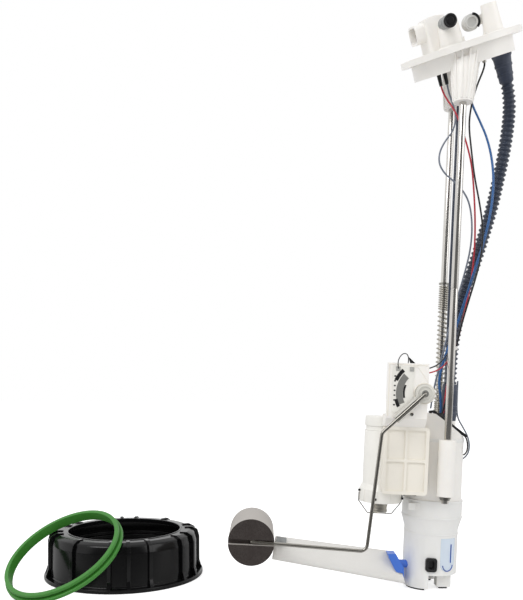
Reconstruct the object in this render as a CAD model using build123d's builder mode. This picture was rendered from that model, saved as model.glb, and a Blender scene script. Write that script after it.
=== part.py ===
from build123d import *
import os
from math import cos, radians, sin, sqrt, tan

# Fuel pump module: a reservoir with its electric pump, two guide rods that carry the tank flange,
# a sender with its float arm, and the lock ring and gasket that hold the flange down on the tank.
# Millimetres. The row's origin is the middle of its footprint on the floor, +Y points away from the front.

# --- stance -----------------------------------------------------------------------------------------
lean = 2.6  # the rods lean this far to +X
module_x, module_y = 153.4, -22.6  # reservoir axis on the floor
pad_thickness = 2.0  # rubber pads under the feet

# --- reservoir --------------------------------------------------------------------------------------
lower_r = 24.4
housing_r = 26.0
collar_step = 1.2  # the cup's collar stands this far outside the housing
collar_r = housing_r + collar_step
wall = 1.8
cup_floor = 14.0
cup_floor_thickness = 2.5
cone_low, cone_high = 54.0, 63.6
collar_top = 81.0
rim_top = 137.0
lid_peak = 159.5
slope_start = -6.0  # the lid's flat top ends here and falls to the rim
spigot_depth = 6.0
fit = 0.05  # clearance of a part let into a hole

# --- pump -------------------------------------------------------------------------------------------
case_r, case_wall = 18.0, 1.2
pump_gap = 2.156  # from the case to the bore of the housing's spigot
pump_offset = (collar_r - 2 * wall - fit - case_r - pump_gap) / sqrt(2)
pump_x, pump_y = -pump_offset, pump_offset
case_low, case_high = 26.0, 96.0
pump_base_low = 18.0
outlet_top = 112.0
shaft_r = 1.5
shaft_play = 0.03
magnet_r_in = 13.6
armature_r = 12.8
armature_low, armature_high = 42.0, 72.0
commutator_r = 7.0
commutator_high = 84.0
impeller_r, impeller_low, impeller_high = 14.0, 30.0, 34.0

# --- guide rods and spring --------------------------------------------------------------------------
rod_r = 3.175
rod_play = 0.06
front_rod_gap, rear_rod_gap = 7.0, 5.0  # from the housing's wall to the middle of each rod
front_rod_x, front_rod_y = 3.7, -(housing_r + front_rod_gap)
rear_rod_x, rear_rod_y = 9.4, housing_r + rear_rod_gap
guide_r = 7.6
front_guide_low, front_guide_high = 87.0, 137.0
rear_guide_low, rear_guide_high = 101.0, 157.5
front_rod_low, front_rod_high = 80.6, 475.0
rear_rod_low, rear_rod_high = 94.6, 490.0
stop_gap = 0.3
clip_r, clip_thickness = 4.9, 1.5
groove_depth = 0.6
press_gap = 0.03
washer_r, washer_thickness = 4.2, 1.4
spring_r, spring_wire = 4.75, 1.1
spring_top = 283.0

# --- flange -----------------------------------------------------------------------------------------
flange_x, flange_y, flange_z = 7.4, -1.4, 495.6  # middle of the seat face, from the reservoir axis
flange_roll, flange_pitch = 20.6, 17.4
flange_r, flange_thickness = 55.4, 5.0
spigot_r, spigot_wall, spigot_length = 46.2, 2.5, 14.0
seat_relief = 6.0  # the bosses stay this far below the seat outside the spigot
front_boss_low, front_boss_high = 436.0, 488.0
front_boss_r_low, front_boss_r_high = 8.4, 14.0
rear_boss_low, rear_boss_high = 453.0, 510.0
rear_boss_r_low, rear_boss_r_high = 7.4, 12.0

# --- sender -----------------------------------------------------------------------------------------
plate_front, plate_back = -46.0, -42.0
plate_left, plate_right, plate_low, plate_high = -54.0, -18.2, 155.0, 203.0
hub_x, hub_z = -21.6, 177.2
hub_r, hub_back, hub_front = 8.2, -46.3, -50.4
arm_wire_r = 1.5
arm_wire_y = -52.2
pivot_play = 0.05
arm_clip_width, arm_clip_length = 7.4, 34.0
card_thickness = 0.6
track_mid_r, track_width = 22.7, 4.8
box_left, box_right, box_low, box_high = -53.6, -13.7, 87.6, 147.2
box_front, box_depth = -39.0, 17.0
box_rim, box_recess, box_rib = 3.0, 1.6, 2.2

# --- filter canister --------------------------------------------------------------------------------
canister_x, canister_y = -50.2, -11.0
canister_r, canister_base_r, canister_wall = 16.6, 19.0, 1.8
canister_low, canister_step, canister_high = 77.0, 93.0, 155.0
canister_groove_low, canister_groove_high, canister_groove_depth = 141.8, 146.0, 1.2
regulator_r, regulator_low = 7.0, 66.5

# --- float ------------------------------------------------------------------------------------------
float_r, float_length = 20.0, 60.0
float_z = 43.3
float_front = -55.6
float_slot_width, float_slot_depth = 4.6, 5.0
bend_1 = (-57.8, 141.8)  # where the float wire turns, in x and z
bend_2 = (-66.5, 39.4)
bend_r = 6.0

# --- strainer ---------------------------------------------------------------------------------------
sock_x, sock_y, sock_z = -36.0, -12.0, 18.5  # middle of the end that the connector holds
sock_rise, sock_roll = 8.6, 50.0  # slope of its length, and how far its face turns to the front
sock_length, sock_thickness = 110.0, 8.0
sock_end_width = 30.0
sock_tip_high, sock_tip_low = 7.0, 17.0  # the tip's corners, from the middle line of the end
sock_slant = 11.5  # the end's lower corner reaches this much further towards the cup
connector_y_range = (-20.0, -4.0)
pipe_y, pipe_z = -7.0, 20.0
pipe_r, pipe_end = 3.6, -20.2
float_gap = 1.2  # from the float to the sock's tip, along the module's x
float_x = sock_x - sock_length * cos(radians(sock_rise)) - float_r - float_gap

# --- lock ring and gasket ---------------------------------------------------------------------------
ring_x, ring_y = -136.3, 19.9
ring_base_r, ring_base_thickness = 76.5, 3.5
ring_wall_r, ring_wall = 70.5, 4.5
ring_height = 43.0
ring_lip_thickness = 4.0
ring_opening_r = 54.0
ring_shoulder = 7.0
ring_rib_count, ring_rib_depth, ring_rib_width = 24, 3.0, 2.4
gasket_x, gasket_y, gasket_z = -179.87, -43.24, 33.04
gasket_tilt, gasket_turn = 32.74, 34.6
gasket_r, gasket_bore_r = 56.0, 50.5
gasket_height, gasket_lip, gasket_groove = 9.0, 2.6, 2.4

os.makedirs("parts", exist_ok=True)

# --- frames -----------------------------------------------------------------------------------------
MODULE = Plane(
    origin=(module_x, module_y, 0),
    x_dir=(cos(radians(lean)), 0, -sin(radians(lean))),
    z_dir=(sin(radians(lean)), 0, cos(radians(lean))),
)


def inside(frame, x, y, z):
    """The world point at x, y, z of a frame."""
    return frame.from_local_coords(Vector(x, y, z))


def direction(frame, x, y, z):
    """The world direction that points along x, y, z of a frame."""
    return inside(frame, x, y, z) - frame.origin


FLANGE = Plane(
    origin=inside(MODULE, flange_x, flange_y, flange_z),
    x_dir=direction(MODULE, cos(radians(flange_roll)), 0, sin(radians(flange_roll))),
    z_dir=direction(
        MODULE,
        -sin(radians(flange_roll)) * cos(radians(flange_pitch)),
        -sin(radians(flange_pitch)),
        cos(radians(flange_roll)) * cos(radians(flange_pitch)),
    ),
)
RING = Plane(origin=(ring_x, ring_y, 0))
GASKET = Plane(
    origin=(gasket_x, gasket_y, gasket_z),
    x_dir=(cos(radians(gasket_turn)), -sin(radians(gasket_turn)), 0),
    z_dir=(
        -sin(radians(gasket_tilt)) * sin(radians(gasket_turn)),
        -sin(radians(gasket_tilt)) * cos(radians(gasket_turn)),
        cos(radians(gasket_tilt)),
    ),
)
SOCK = Plane(
    origin=inside(MODULE, sock_x, sock_y, sock_z),
    x_dir=direction(MODULE, -cos(radians(sock_rise)), 0, sin(radians(sock_rise))),
    z_dir=direction(
        MODULE,
        sin(radians(sock_rise)) * cos(radians(sock_roll)),
        -sin(radians(sock_roll)),
        cos(radians(sock_rise)) * cos(radians(sock_roll)),
    ),
)


# --- shapes that several pieces share ---------------------------------------------------------------
def facing(frame, depth):
    """A plane square to a frame's y, seen from the front: its x is the frame's x, its y the frame's z."""
    return Plane(origin=inside(frame, 0, depth, 0), x_dir=frame.x_dir, z_dir=-frame.y_dir)


def across(frame, x, y, z):
    """A plane at a point of a frame that faces the front, along minus y."""
    return Plane(origin=inside(frame, x, y, z), x_dir=frame.x_dir, z_dir=-frame.y_dir)


def along(frame, x, y, z):
    """A plane at a point of a frame that faces along minus x; its x is minus the frame's y."""
    return Plane(origin=inside(frame, x, y, z), x_dir=-frame.y_dir, z_dir=-frame.x_dir)


def post(frame, x, y, low, high, radius, mode=Mode.ADD):
    """A round bar along the frame's z."""
    with BuildSketch(frame.offset(low)) as outline:
        with Locations((x, y)):
            Circle(radius)
    extrude(outline.sketch, amount=high - low, mode=mode)


def turned(frame, x, y, points, mode=Mode.ADD):
    """A turned piece about an axis along the frame's z, from its radius and height pairs."""
    plane = Plane(origin=inside(frame, x, y, 0), x_dir=frame.x_dir, z_dir=-frame.y_dir)
    with BuildSketch(plane) as profile:
        with BuildLine():
            Polyline(*points, close=True)
        make_face()
    revolve(profile.sketch, axis=Axis(plane.origin, frame.z_dir), mode=mode)


def block(frame, x_range, y_range, z_range, mode=Mode.ADD, round_r=0.0):
    """A box between x, y and z limits of a frame, its upright edges rounded if asked."""
    middle = ((x_range[0] + x_range[1]) / 2, (y_range[0] + y_range[1]) / 2)
    size = (x_range[1] - x_range[0], y_range[1] - y_range[0])
    with BuildSketch(frame.offset(z_range[0])) as outline:
        with Locations(middle):
            if round_r > 0:
                RectangleRounded(size[0], size[1], round_r)
            else:
                Rectangle(size[0], size[1])
    extrude(outline.sketch, amount=z_range[1] - z_range[0], mode=mode)


def route_radii(points):
    """The bend radius at each inner point: 0.45 of the shorter run over the tangent of half the turn."""
    radii = []
    for before, here, after in zip(points, points[1:], points[2:]):
        turn = (here - before).get_angle(after - here)
        shorter = min((here - before).length, (after - here).length)
        radii.append(0.45 * shorter / tan(radians(turn) / 2))
    return radii


def placed(frame, points):
    """World points from a list in a frame's own coordinates."""
    return [inside(frame, *point) for point in points]


def cord(name, world, radius):
    """A round cord along a route of straight runs joined by arcs."""
    with BuildLine() as path:
        if len(world) > 2:
            radii = route_radii(world)
            print(name, "bend radii", [round(bend, 1) for bend in radii])
            FilletPolyline(*world, radius=radii)
        else:
            Line(*world)
    with BuildSketch(Plane(origin=path.line @ 0, z_dir=path.line % 0)) as section:
        Circle(radius)
    sweep(section.sketch, path=path.line)


def keep_above_floor(height):
    """Cut the piece in hand level, at a height above the floor."""
    split(bisect_by=Plane.XY.offset(height), keep=Keep.TOP)


# === reservoir ======================================================================================
valve_size = (10.2, 12.6)
valve_x, valve_z = -3.8, 23.8
valve_corner = 2.6
window_left, window_right, window_low, window_high = 4.1, 18.6, 17.5, 47.5
foot_front = ((-28.0, -5.6), (-26.0, -2.0))  # x and y limits of each foot
foot_right = ((4.0, 16.4), (-16.0, -5.0))
foot_back = ((-10.0, 8.0), (12.0, 26.0))
pad_inset = 2.5


def foot_outline(limits, inset=0.0):
    """A foot seen from below: the part of the cup's floor within the limits."""
    (x0, x1), (y0, y1) = limits
    Circle(lower_r - inset)
    with Locations(((x0 + x1) / 2, (y0 + y1) / 2)):
        Rectangle(x1 - x0 - 2 * inset, y1 - y0 - 2 * inset, mode=Mode.INTERSECT)


def window_outline(gap=0.0):
    """The window's U shape on the cup's front: square at the top, round at the bottom."""
    width = window_right - window_left
    middle = (window_left + window_right) / 2
    with Locations((middle, (window_low + width / 2 + window_high) / 2)):
        Rectangle(width - 2 * gap, window_high - window_low - width / 2 - 2 * gap)
    with Locations((middle, window_low + width / 2)):
        Circle(width / 2 - gap)


cup_inner_r = lower_r - wall
collar_inner_r = collar_r - wall
with BuildPart() as reservoir_cup:
    turned(
        MODULE,
        0,
        0,
        [
            (0, cup_floor),
            (lower_r, cup_floor),
            (lower_r, cone_low),
            (collar_r, cone_high),
            (collar_r, collar_top),
            (collar_inner_r, collar_top),
            (collar_inner_r, cone_high),
            (cup_inner_r, cone_low),
            (cup_inner_r, cup_floor + cup_floor_thickness),
            (0, cup_floor + cup_floor_thickness),
        ],
    )
    for limits in (foot_front, foot_right, foot_back):
        with BuildSketch(MODULE) as foot:
            foot_outline(limits)
        extrude(foot.sketch, amount=cup_floor)
    with BuildSketch(MODULE.offset(72)) as catch:
        Circle(collar_r + 1)
        Circle(collar_r - wall / 2, mode=Mode.SUBTRACT)
        with Locations((-20.6, -20)):
            Rectangle(9.4, 20, mode=Mode.INTERSECT)
    extrude(catch.sketch, amount=6.2)
    with BuildSketch(facing(MODULE, 0)) as valve_hole:
        with Locations((valve_x, valve_z)):
            RectangleRounded(valve_size[0], valve_size[1], valve_corner)
    extrude(valve_hole.sketch, amount=lower_r + 1, mode=Mode.SUBTRACT)
    with BuildSketch(facing(MODULE, 0)) as window_hole:
        window_outline()
    extrude(window_hole.sketch, amount=lower_r + 1, mode=Mode.SUBTRACT)
    with BuildSketch(Plane(origin=inside(MODULE, 0, pipe_y, pipe_z), z_dir=-MODULE.x_dir)) as pipe_hole:
        Circle(pipe_r + fit)
    extrude(pipe_hole.sketch, amount=lower_r + 1, mode=Mode.SUBTRACT)
    keep_above_floor(pad_thickness)
reservoir_cup.part.label = "reservoir_cup"
export_step(reservoir_cup.part, "parts/reservoir_cup.step")

with BuildPart() as foot_pads:
    for limits in (foot_front, foot_right, foot_back):
        with BuildSketch(MODULE.offset(-5)) as pad:
            foot_outline(limits, pad_inset)
        extrude(pad.sketch, amount=10)
    split(bisect_by=Plane.XY.offset(pad_thickness), keep=Keep.BOTTOM)
    keep_above_floor(0)
foot_pads.part.label = "foot_pads"
export_step(foot_pads.part, "parts/foot_pads.step")

valve_face, valve_tail = -26.0, -19.6
with BuildPart() as inlet_valve:
    with BuildSketch(facing(MODULE, valve_tail)) as valve_body:
        with Locations((valve_x, valve_z)):
            RectangleRounded(valve_size[0] - 2 * fit, valve_size[1] - 2 * fit, valve_corner)
    extrude(valve_body.sketch, amount=valve_tail - valve_face)
    with BuildSketch(facing(MODULE, valve_face)) as valve_mouth:
        with Locations((valve_x, valve_z)):
            RectangleRounded(valve_size[0] - 5, valve_size[1] - 5, 1.2)
    extrude(valve_mouth.sketch, amount=-4, mode=Mode.SUBTRACT)
inlet_valve.part.label = "inlet_valve"
export_step(inlet_valve.part, "parts/inlet_valve.step")

with BuildPart() as level_window:
    with BuildSketch(MODULE.offset(window_low - 2)) as shell:
        Circle(lower_r)
        Circle(cup_inner_r, mode=Mode.SUBTRACT)
    extrude(shell.sketch, amount=window_high - window_low + 4)
    with BuildSketch(facing(MODULE, 0)) as window_shape:
        window_outline(fit)
    extrude(window_shape.sketch, amount=lower_r + 1, mode=Mode.INTERSECT)
level_window.part.label = "level_window"
export_step(level_window.part, "parts/level_window.step")

jet_x, jet_y = 10.9, -16.0
jet_floor = cup_floor + cup_floor_thickness
with BuildPart() as jet_pump:
    turned(
        MODULE,
        jet_x,
        jet_y,
        [(0, jet_floor), (2.9, jet_floor), (2.9, 26), (1.8, 30), (2.9, 40), (2.9, 44), (0, 44)],
    )
jet_pump.part.label = "jet_pump"
export_step(jet_pump.part, "parts/jet_pump.step")

housing_inner_r = housing_r - wall
spigot_outer_r = collar_inner_r - fit
spigot_inner_r = spigot_outer_r - wall
seat_low = collar_top - spigot_depth
with BuildPart() as pump_housing:
    turned(
        MODULE,
        0,
        0,
        [
            (spigot_inner_r, seat_low),
            (spigot_outer_r, seat_low),
            (spigot_outer_r, collar_top),
            (housing_r, collar_top),
            (housing_r, rim_top),
            (housing_inner_r, rim_top),
            (housing_inner_r, collar_top + wall),
            (spigot_inner_r, collar_top),
        ],
    )
    bridge_low, bridge_high = canister_step + 3, rim_top - 2
    with BuildSketch(MODULE.offset(bridge_low)) as bridge:
        with Locations(((canister_x - housing_r) / 2, canister_y + 3)):
            Rectangle(-canister_x - housing_r + 8, 9)
        Circle(housing_r - wall / 2, mode=Mode.SUBTRACT)
        with Locations((canister_x, canister_y)):
            Circle(canister_r, mode=Mode.SUBTRACT)
    extrude(bridge.sketch, amount=bridge_high - bridge_low)
pump_housing.part.label = "pump_housing"
export_step(pump_housing.part, "parts/pump_housing.step")

slope = (lid_peak - rim_top) / (housing_r - slope_start)  # fall of the lid per millimetre of x


def lid_outline(reach, drop):
    """The lid from the front: flat, then falling to the rim; drop lowers it, reach is its half width."""
    edge = rim_top + slope * (housing_r - reach) - drop
    Polyline(
        (-reach, rim_top - spigot_depth),
        (reach, rim_top - spigot_depth),
        (reach, max(edge, rim_top - spigot_depth + 1)),
        (slope_start, lid_peak - drop),
        (-reach, lid_peak - drop),
        close=True,
    )


hose_x, hose_y = 11.3, -2.0
hose_r = 6.0
barb_r, barb_top = 4.0, 172.0
socket_r, boot_low = 6.6, 153.0
grommet_x, grommet_y, grommet_r = 2.2, -9.0, 3.4
lid_drop = wall * 1.3
with BuildPart() as reservoir_lid:
    with BuildSketch(facing(MODULE, 0)) as lid_side:
        with BuildLine():
            lid_outline(housing_r, 0)
        make_face()
    extrude(lid_side.sketch, amount=housing_r + 1, both=True)
    with BuildSketch(MODULE.offset(rim_top)) as lid_round:
        Circle(housing_r)
    with BuildSketch(MODULE.offset(rim_top - spigot_depth)) as lid_spigot:
        Circle(housing_inner_r - fit)
    outer = extrude(lid_round.sketch, amount=lid_peak - rim_top, mode=Mode.PRIVATE)
    inner = extrude(lid_spigot.sketch, amount=spigot_depth, mode=Mode.PRIVATE)
    add(outer + inner, mode=Mode.INTERSECT)
    with BuildSketch(facing(MODULE, 0)) as lid_hollow:
        with BuildLine():
            lid_outline(housing_inner_r - wall, lid_drop)
        make_face()
    hollow = extrude(lid_hollow.sketch, amount=housing_r, both=True, mode=Mode.PRIVATE)
    with BuildSketch(MODULE.offset(rim_top - spigot_depth)) as lid_bore:
        Circle(housing_inner_r - wall)
    bore = extrude(lid_bore.sketch, amount=lid_peak - rim_top + spigot_depth, mode=Mode.PRIVATE)
    add(hollow & bore, mode=Mode.SUBTRACT)
    socket_low = rim_top + slope * (housing_r - hose_x) - wall
    post(MODULE, hose_x, hose_y, socket_low - 4, boot_low, socket_r)
    post(MODULE, hose_x, hose_y, socket_low - 4, barb_top, barb_r)
    post(MODULE, hose_x, hose_y, socket_low - 5, barb_top, barb_r - 1.5, mode=Mode.SUBTRACT)
    post(MODULE, grommet_x, grommet_y, rim_top, lid_peak, grommet_r - 0.8, mode=Mode.SUBTRACT)
reservoir_lid.part.label = "reservoir_lid"
export_step(reservoir_lid.part, "parts/reservoir_lid.step")

with BuildPart() as wire_grommet:
    grommet_low = lid_peak - slope * (grommet_x - slope_start) - 4.5
    turned(
        MODULE,
        grommet_x,
        grommet_y,
        [
            (1.9, grommet_low),
            (grommet_r - 0.8 - fit, grommet_low),
            (grommet_r - 0.8 - fit, lid_peak + 0.5),
            (1.9, lid_peak + 0.5),
        ],
    )
wire_grommet.part.label = "wire_grommet"
export_step(wire_grommet.part, "parts/wire_grommet.step")

lower_boot_r, lower_boot_top, boot_bore_r = 7.2, 187.0, 4.05
with BuildPart() as lower_boot:
    turned(
        MODULE,
        hose_x,
        hose_y,
        [
            (boot_bore_r, boot_low),
            (lower_boot_r - 0.6, boot_low),
            (lower_boot_r, boot_low + 8),
            (lower_boot_r, lower_boot_top - 6),
            (lower_boot_r - 0.8, lower_boot_top),
            (boot_bore_r, lower_boot_top),
        ],
    )
lower_boot.part.label = "lower_boot"
export_step(lower_boot.part, "parts/lower_boot.step")

# === pump inside the reservoir ======================================================================
cap_thickness = 10.0
with BuildPart() as pump_case:
    with BuildSketch(MODULE.offset(case_low)) as case_ring:
        with Locations((pump_x, pump_y)):
            Circle(case_r)
            Circle(case_r - case_wall, mode=Mode.SUBTRACT)
    extrude(case_ring.sketch, amount=case_high - case_low)
pump_case.part.label = "pump_case"
export_step(pump_case.part, "parts/pump_case.step")

case_bore_r = case_r - case_wall
with BuildPart() as pump_base:
    turned(
        MODULE,
        pump_x,
        pump_y,
        [
            (shaft_r + shaft_play, case_low - 3),
            (4, case_low - 3),
            (4, pump_base_low),
            (case_r, pump_base_low),
            (case_r, case_low),
            (case_bore_r - fit, case_low),
            (case_bore_r - fit, impeller_low - stop_gap),
            (shaft_r + shaft_play, impeller_low - stop_gap),
        ],
    )
    post(MODULE, pump_x - 9, pump_y - 6, pump_base_low, impeller_low, 2.5, mode=Mode.SUBTRACT)
pump_base.part.label = "pump_base"
export_step(pump_base.part, "parts/pump_base.step")

bearing_low = impeller_high + stop_gap
with BuildPart() as pump_bearing_plate:
    turned(
        MODULE,
        pump_x,
        pump_y,
        [
            (shaft_r + shaft_play, bearing_low),
            (case_bore_r - fit, bearing_low),
            (case_bore_r - fit, bearing_low + 3),
            (shaft_r + shaft_play, bearing_low + 3),
        ],
    )
pump_bearing_plate.part.label = "pump_bearing_plate"
export_step(pump_bearing_plate.part, "parts/pump_bearing_plate.step")

cap_low = case_high - cap_thickness
with BuildPart() as pump_cap:
    turned(
        MODULE,
        pump_x,
        pump_y,
        [
            (shaft_r + shaft_play, cap_low + 3),
            (case_bore_r - fit, cap_low + 3),
            (case_bore_r - fit, case_high),
            (case_r, case_high),
            (case_r, case_high + 4),
            (0, case_high + 4),
            (0, case_high - 2),
            (shaft_r + shaft_play, case_high - 2),
        ],
    )
    post(MODULE, pump_x + 8, pump_y, case_high, outlet_top, 4)
    post(MODULE, pump_x + 8, pump_y, cap_low, outlet_top, 2.2, mode=Mode.SUBTRACT)
pump_cap.part.label = "pump_cap"
export_step(pump_cap.part, "parts/pump_cap.step")

with BuildPart() as pump_magnets:
    with BuildSketch(MODULE.offset(armature_low - 2)) as magnet_ring:
        with Locations((pump_x, pump_y)):
            Circle(case_bore_r - fit)
            Circle(magnet_r_in, mode=Mode.SUBTRACT)
            Rectangle(5, 2 * case_r, mode=Mode.SUBTRACT)
    extrude(magnet_ring.sketch, amount=armature_high - armature_low + 4)
pump_magnets.part.label = "pump_magnets"
export_step(pump_magnets.part, "parts/pump_magnets.step")

with BuildPart() as pump_armature:
    turned(
        MODULE,
        pump_x,
        pump_y,
        [
            (shaft_r + press_gap, armature_low),
            (armature_r, armature_low),
            (armature_r, armature_high),
            (shaft_r + press_gap, armature_high),
        ],
    )
pump_armature.part.label = "pump_armature"
export_step(pump_armature.part, "parts/pump_armature.step")

with BuildPart() as pump_commutator:
    turned(
        MODULE,
        pump_x,
        pump_y,
        [
            (shaft_r + press_gap, armature_high),
            (commutator_r, armature_high),
            (commutator_r, commutator_high),
            (shaft_r + press_gap, commutator_high),
        ],
    )
pump_commutator.part.label = "pump_commutator"
export_step(pump_commutator.part, "parts/pump_commutator.step")

with BuildPart() as pump_impeller:
    turned(
        MODULE,
        pump_x,
        pump_y,
        [
            (shaft_r + press_gap, impeller_low),
            (impeller_r, impeller_low),
            (impeller_r, impeller_high),
            (shaft_r + press_gap, impeller_high),
        ],
    )
    with BuildSketch(MODULE.offset(impeller_low)) as vane_gaps:
        with Locations((pump_x, pump_y)):
            with PolarLocations(impeller_r, 18):
                Rectangle(3, 1.6)
    extrude(vane_gaps.sketch, amount=impeller_high - impeller_low, mode=Mode.SUBTRACT)
pump_impeller.part.label = "pump_impeller"
export_step(pump_impeller.part, "parts/pump_impeller.step")

with BuildPart() as pump_shaft:
    post(MODULE, pump_x, pump_y, case_low - 2, case_high - 3, shaft_r)
pump_shaft.part.label = "pump_shaft"
export_step(pump_shaft.part, "parts/pump_shaft.step")

with BuildPart() as pump_brushes:
    with BuildSketch(MODULE.offset(armature_high + 3)) as brush_pair:
        with Locations((pump_x, pump_y)):
            Rectangle(2 * case_bore_r - 0.6, 4)
            Circle(commutator_r + 0.3, mode=Mode.SUBTRACT)
    extrude(brush_pair.sketch, amount=5)
pump_brushes.part.label = "pump_brushes"
export_step(pump_brushes.part, "parts/pump_brushes.step")

with BuildPart() as pump_cradle:
    with BuildSketch(MODULE.offset(case_low + 10)) as cradle_ring:
        Circle(cup_inner_r - fit)
        with Locations((pump_x, pump_y)):
            Circle(case_r + press_gap, mode=Mode.SUBTRACT)
        with Locations((jet_x, jet_y)):
            Circle(3.2, mode=Mode.SUBTRACT)
    extrude(cradle_ring.sketch, amount=8)
pump_cradle.part.label = "pump_cradle"
export_step(pump_cradle.part, "parts/pump_cradle.step")

# === guides, rods and spring ========================================================================
guide_bore_r = rod_r + rod_play
with BuildPart() as rod_guides:
    post(MODULE, front_rod_x, front_rod_y, front_guide_low, front_guide_high, guide_r)
    post(MODULE, rear_rod_x, rear_rod_y, rear_guide_low, rear_guide_high, guide_r)
    post(MODULE, front_rod_x, front_rod_y, front_guide_low, front_guide_high, guide_bore_r, Mode.SUBTRACT)
    post(MODULE, rear_rod_x, rear_rod_y, rear_guide_low, rear_guide_high, guide_bore_r, Mode.SUBTRACT)
    post(MODULE, 0, 0, front_guide_low, rear_guide_high, housing_r, Mode.SUBTRACT)
rod_guides.part.label = "rod_guides"
export_step(rod_guides.part, "parts/rod_guides.step")

groove_r = rod_r - groove_depth
front_clip_low = front_guide_low - stop_gap - clip_thickness
rear_clip_low = rear_guide_low - stop_gap - clip_thickness
spring_clip_low = spring_top + stop_gap


def clip_groove(x, y, low):
    """The groove of a rod that a clip snaps into."""
    with BuildSketch(MODULE.offset(low - press_gap)) as groove:
        with Locations((x, y)):
            Circle(rod_r + 1)
            Circle(groove_r, mode=Mode.SUBTRACT)
    extrude(groove.sketch, amount=clip_thickness + 2 * press_gap, mode=Mode.SUBTRACT)


def clip_ring(x, y, low, opening):
    """An E-clip: an open ring that snaps on a rod, its opening towards +Y or -Y."""
    with BuildSketch(MODULE.offset(low)) as outline:
        with Locations((x, y)):
            Circle(clip_r)
            Circle(groove_r + press_gap, mode=Mode.SUBTRACT)
        with Locations((x, y + opening * clip_r)):
            Rectangle(2 * groove_r, 2 * clip_r, mode=Mode.SUBTRACT)
    extrude(outline.sketch, amount=clip_thickness)


with BuildPart() as front_rod:
    post(MODULE, front_rod_x, front_rod_y, front_rod_low, front_rod_high, rod_r)
    clip_groove(front_rod_x, front_rod_y, front_clip_low)
front_rod.part.label = "front_rod"
export_step(front_rod.part, "parts/front_rod.step")

with BuildPart() as rear_rod:
    post(MODULE, rear_rod_x, rear_rod_y, rear_rod_low, rear_rod_high, rod_r)
    clip_groove(rear_rod_x, rear_rod_y, rear_clip_low)
    clip_groove(rear_rod_x, rear_rod_y, spring_clip_low)
rear_rod.part.label = "rear_rod"
export_step(rear_rod.part, "parts/rear_rod.step")

washer_top = front_clip_low - press_gap
washer_low = washer_top - washer_thickness
with BuildPart() as rod_clips:
    post(MODULE, front_rod_x, front_rod_y, washer_low, washer_top, washer_r)
    post(MODULE, front_rod_x, front_rod_y, washer_low, washer_top, rod_r + press_gap, Mode.SUBTRACT)
    clip_ring(front_rod_x, front_rod_y, front_clip_low, 1)
    clip_ring(rear_rod_x, rear_rod_y, rear_clip_low, 1)
    clip_ring(rear_rod_x, rear_rod_y, spring_clip_low, 1)
rod_clips.part.label = "rod_clips"
export_step(rod_clips.part, "parts/rod_clips.step")

spring_low = rear_guide_high + fit
with BuildPart() as return_spring:
    post(MODULE, rear_rod_x, rear_rod_y, spring_low, spring_top, spring_r)
    post(MODULE, rear_rod_x, rear_rod_y, spring_low, spring_top, spring_r - spring_wire, Mode.SUBTRACT)
return_spring.part.label = "return_spring"
export_step(return_spring.part, "parts/return_spring.step")

# === tank flange ====================================================================================
front_post_x, front_post_y = -12.5, -16.0
front_post_r_low, front_post_r_high, front_post_top = 11.0, 9.0, 27.5
tall_post_x, tall_post_y = 25.3, -20.0
tall_post_r_low, tall_post_r_high, tall_post_top = 9.4, 6.8, 31.0
nipple_1_x, nipple_1_z = -16.6, 26.2
nipple_1_root, nipple_1_base, nipple_1_end = -18.0, -26.2, -34.5  # y where it starts, leaves the post, ends
nipple_1_r, nipple_root_r = 5.75, 5.4
nipple_2_x, nipple_2_z, nipple_2_near, nipple_2_far = 9.4, 20.6, -17.0, -7.0
nipple_2_r, nipple_cap_r, nipple_cap_length = 7.1, 5.95, 2.5
nipple_lip, nipple_ring_length = 1.6, 1.2
nipple_arm_half = 4.0  # half the height of the arm that carries the second nipple
socket_block = ((-31.0, -12.0), (-12.0, 16.0))
socket_block_top = 34.5
shroud_y, shroud_z, shroud_left = 2.0, 25.0, -39.9
shroud_half_width, shroud_half_height, shroud_wall = 11.0, 8.4, 1.8
outlet_x, outlet_y, outlet_r, outlet_length = 28.3, -20.0, 4.0, 24.0
upper_boot_r_high, upper_boot_r_low, upper_boot_length = 9.0, 6.3, 38.0
terminal_places = ((-29.4, -14.0), (-23.7, -14.0))
ground_x, ground_y, ground_low = 4.3, -39.0, -16.0
ground_width, ground_thickness, ground_crimp_r, ground_crimp_length = 3.2, 1.0, 1.4, 4.0
bore_gap = rod_r + press_gap
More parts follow.
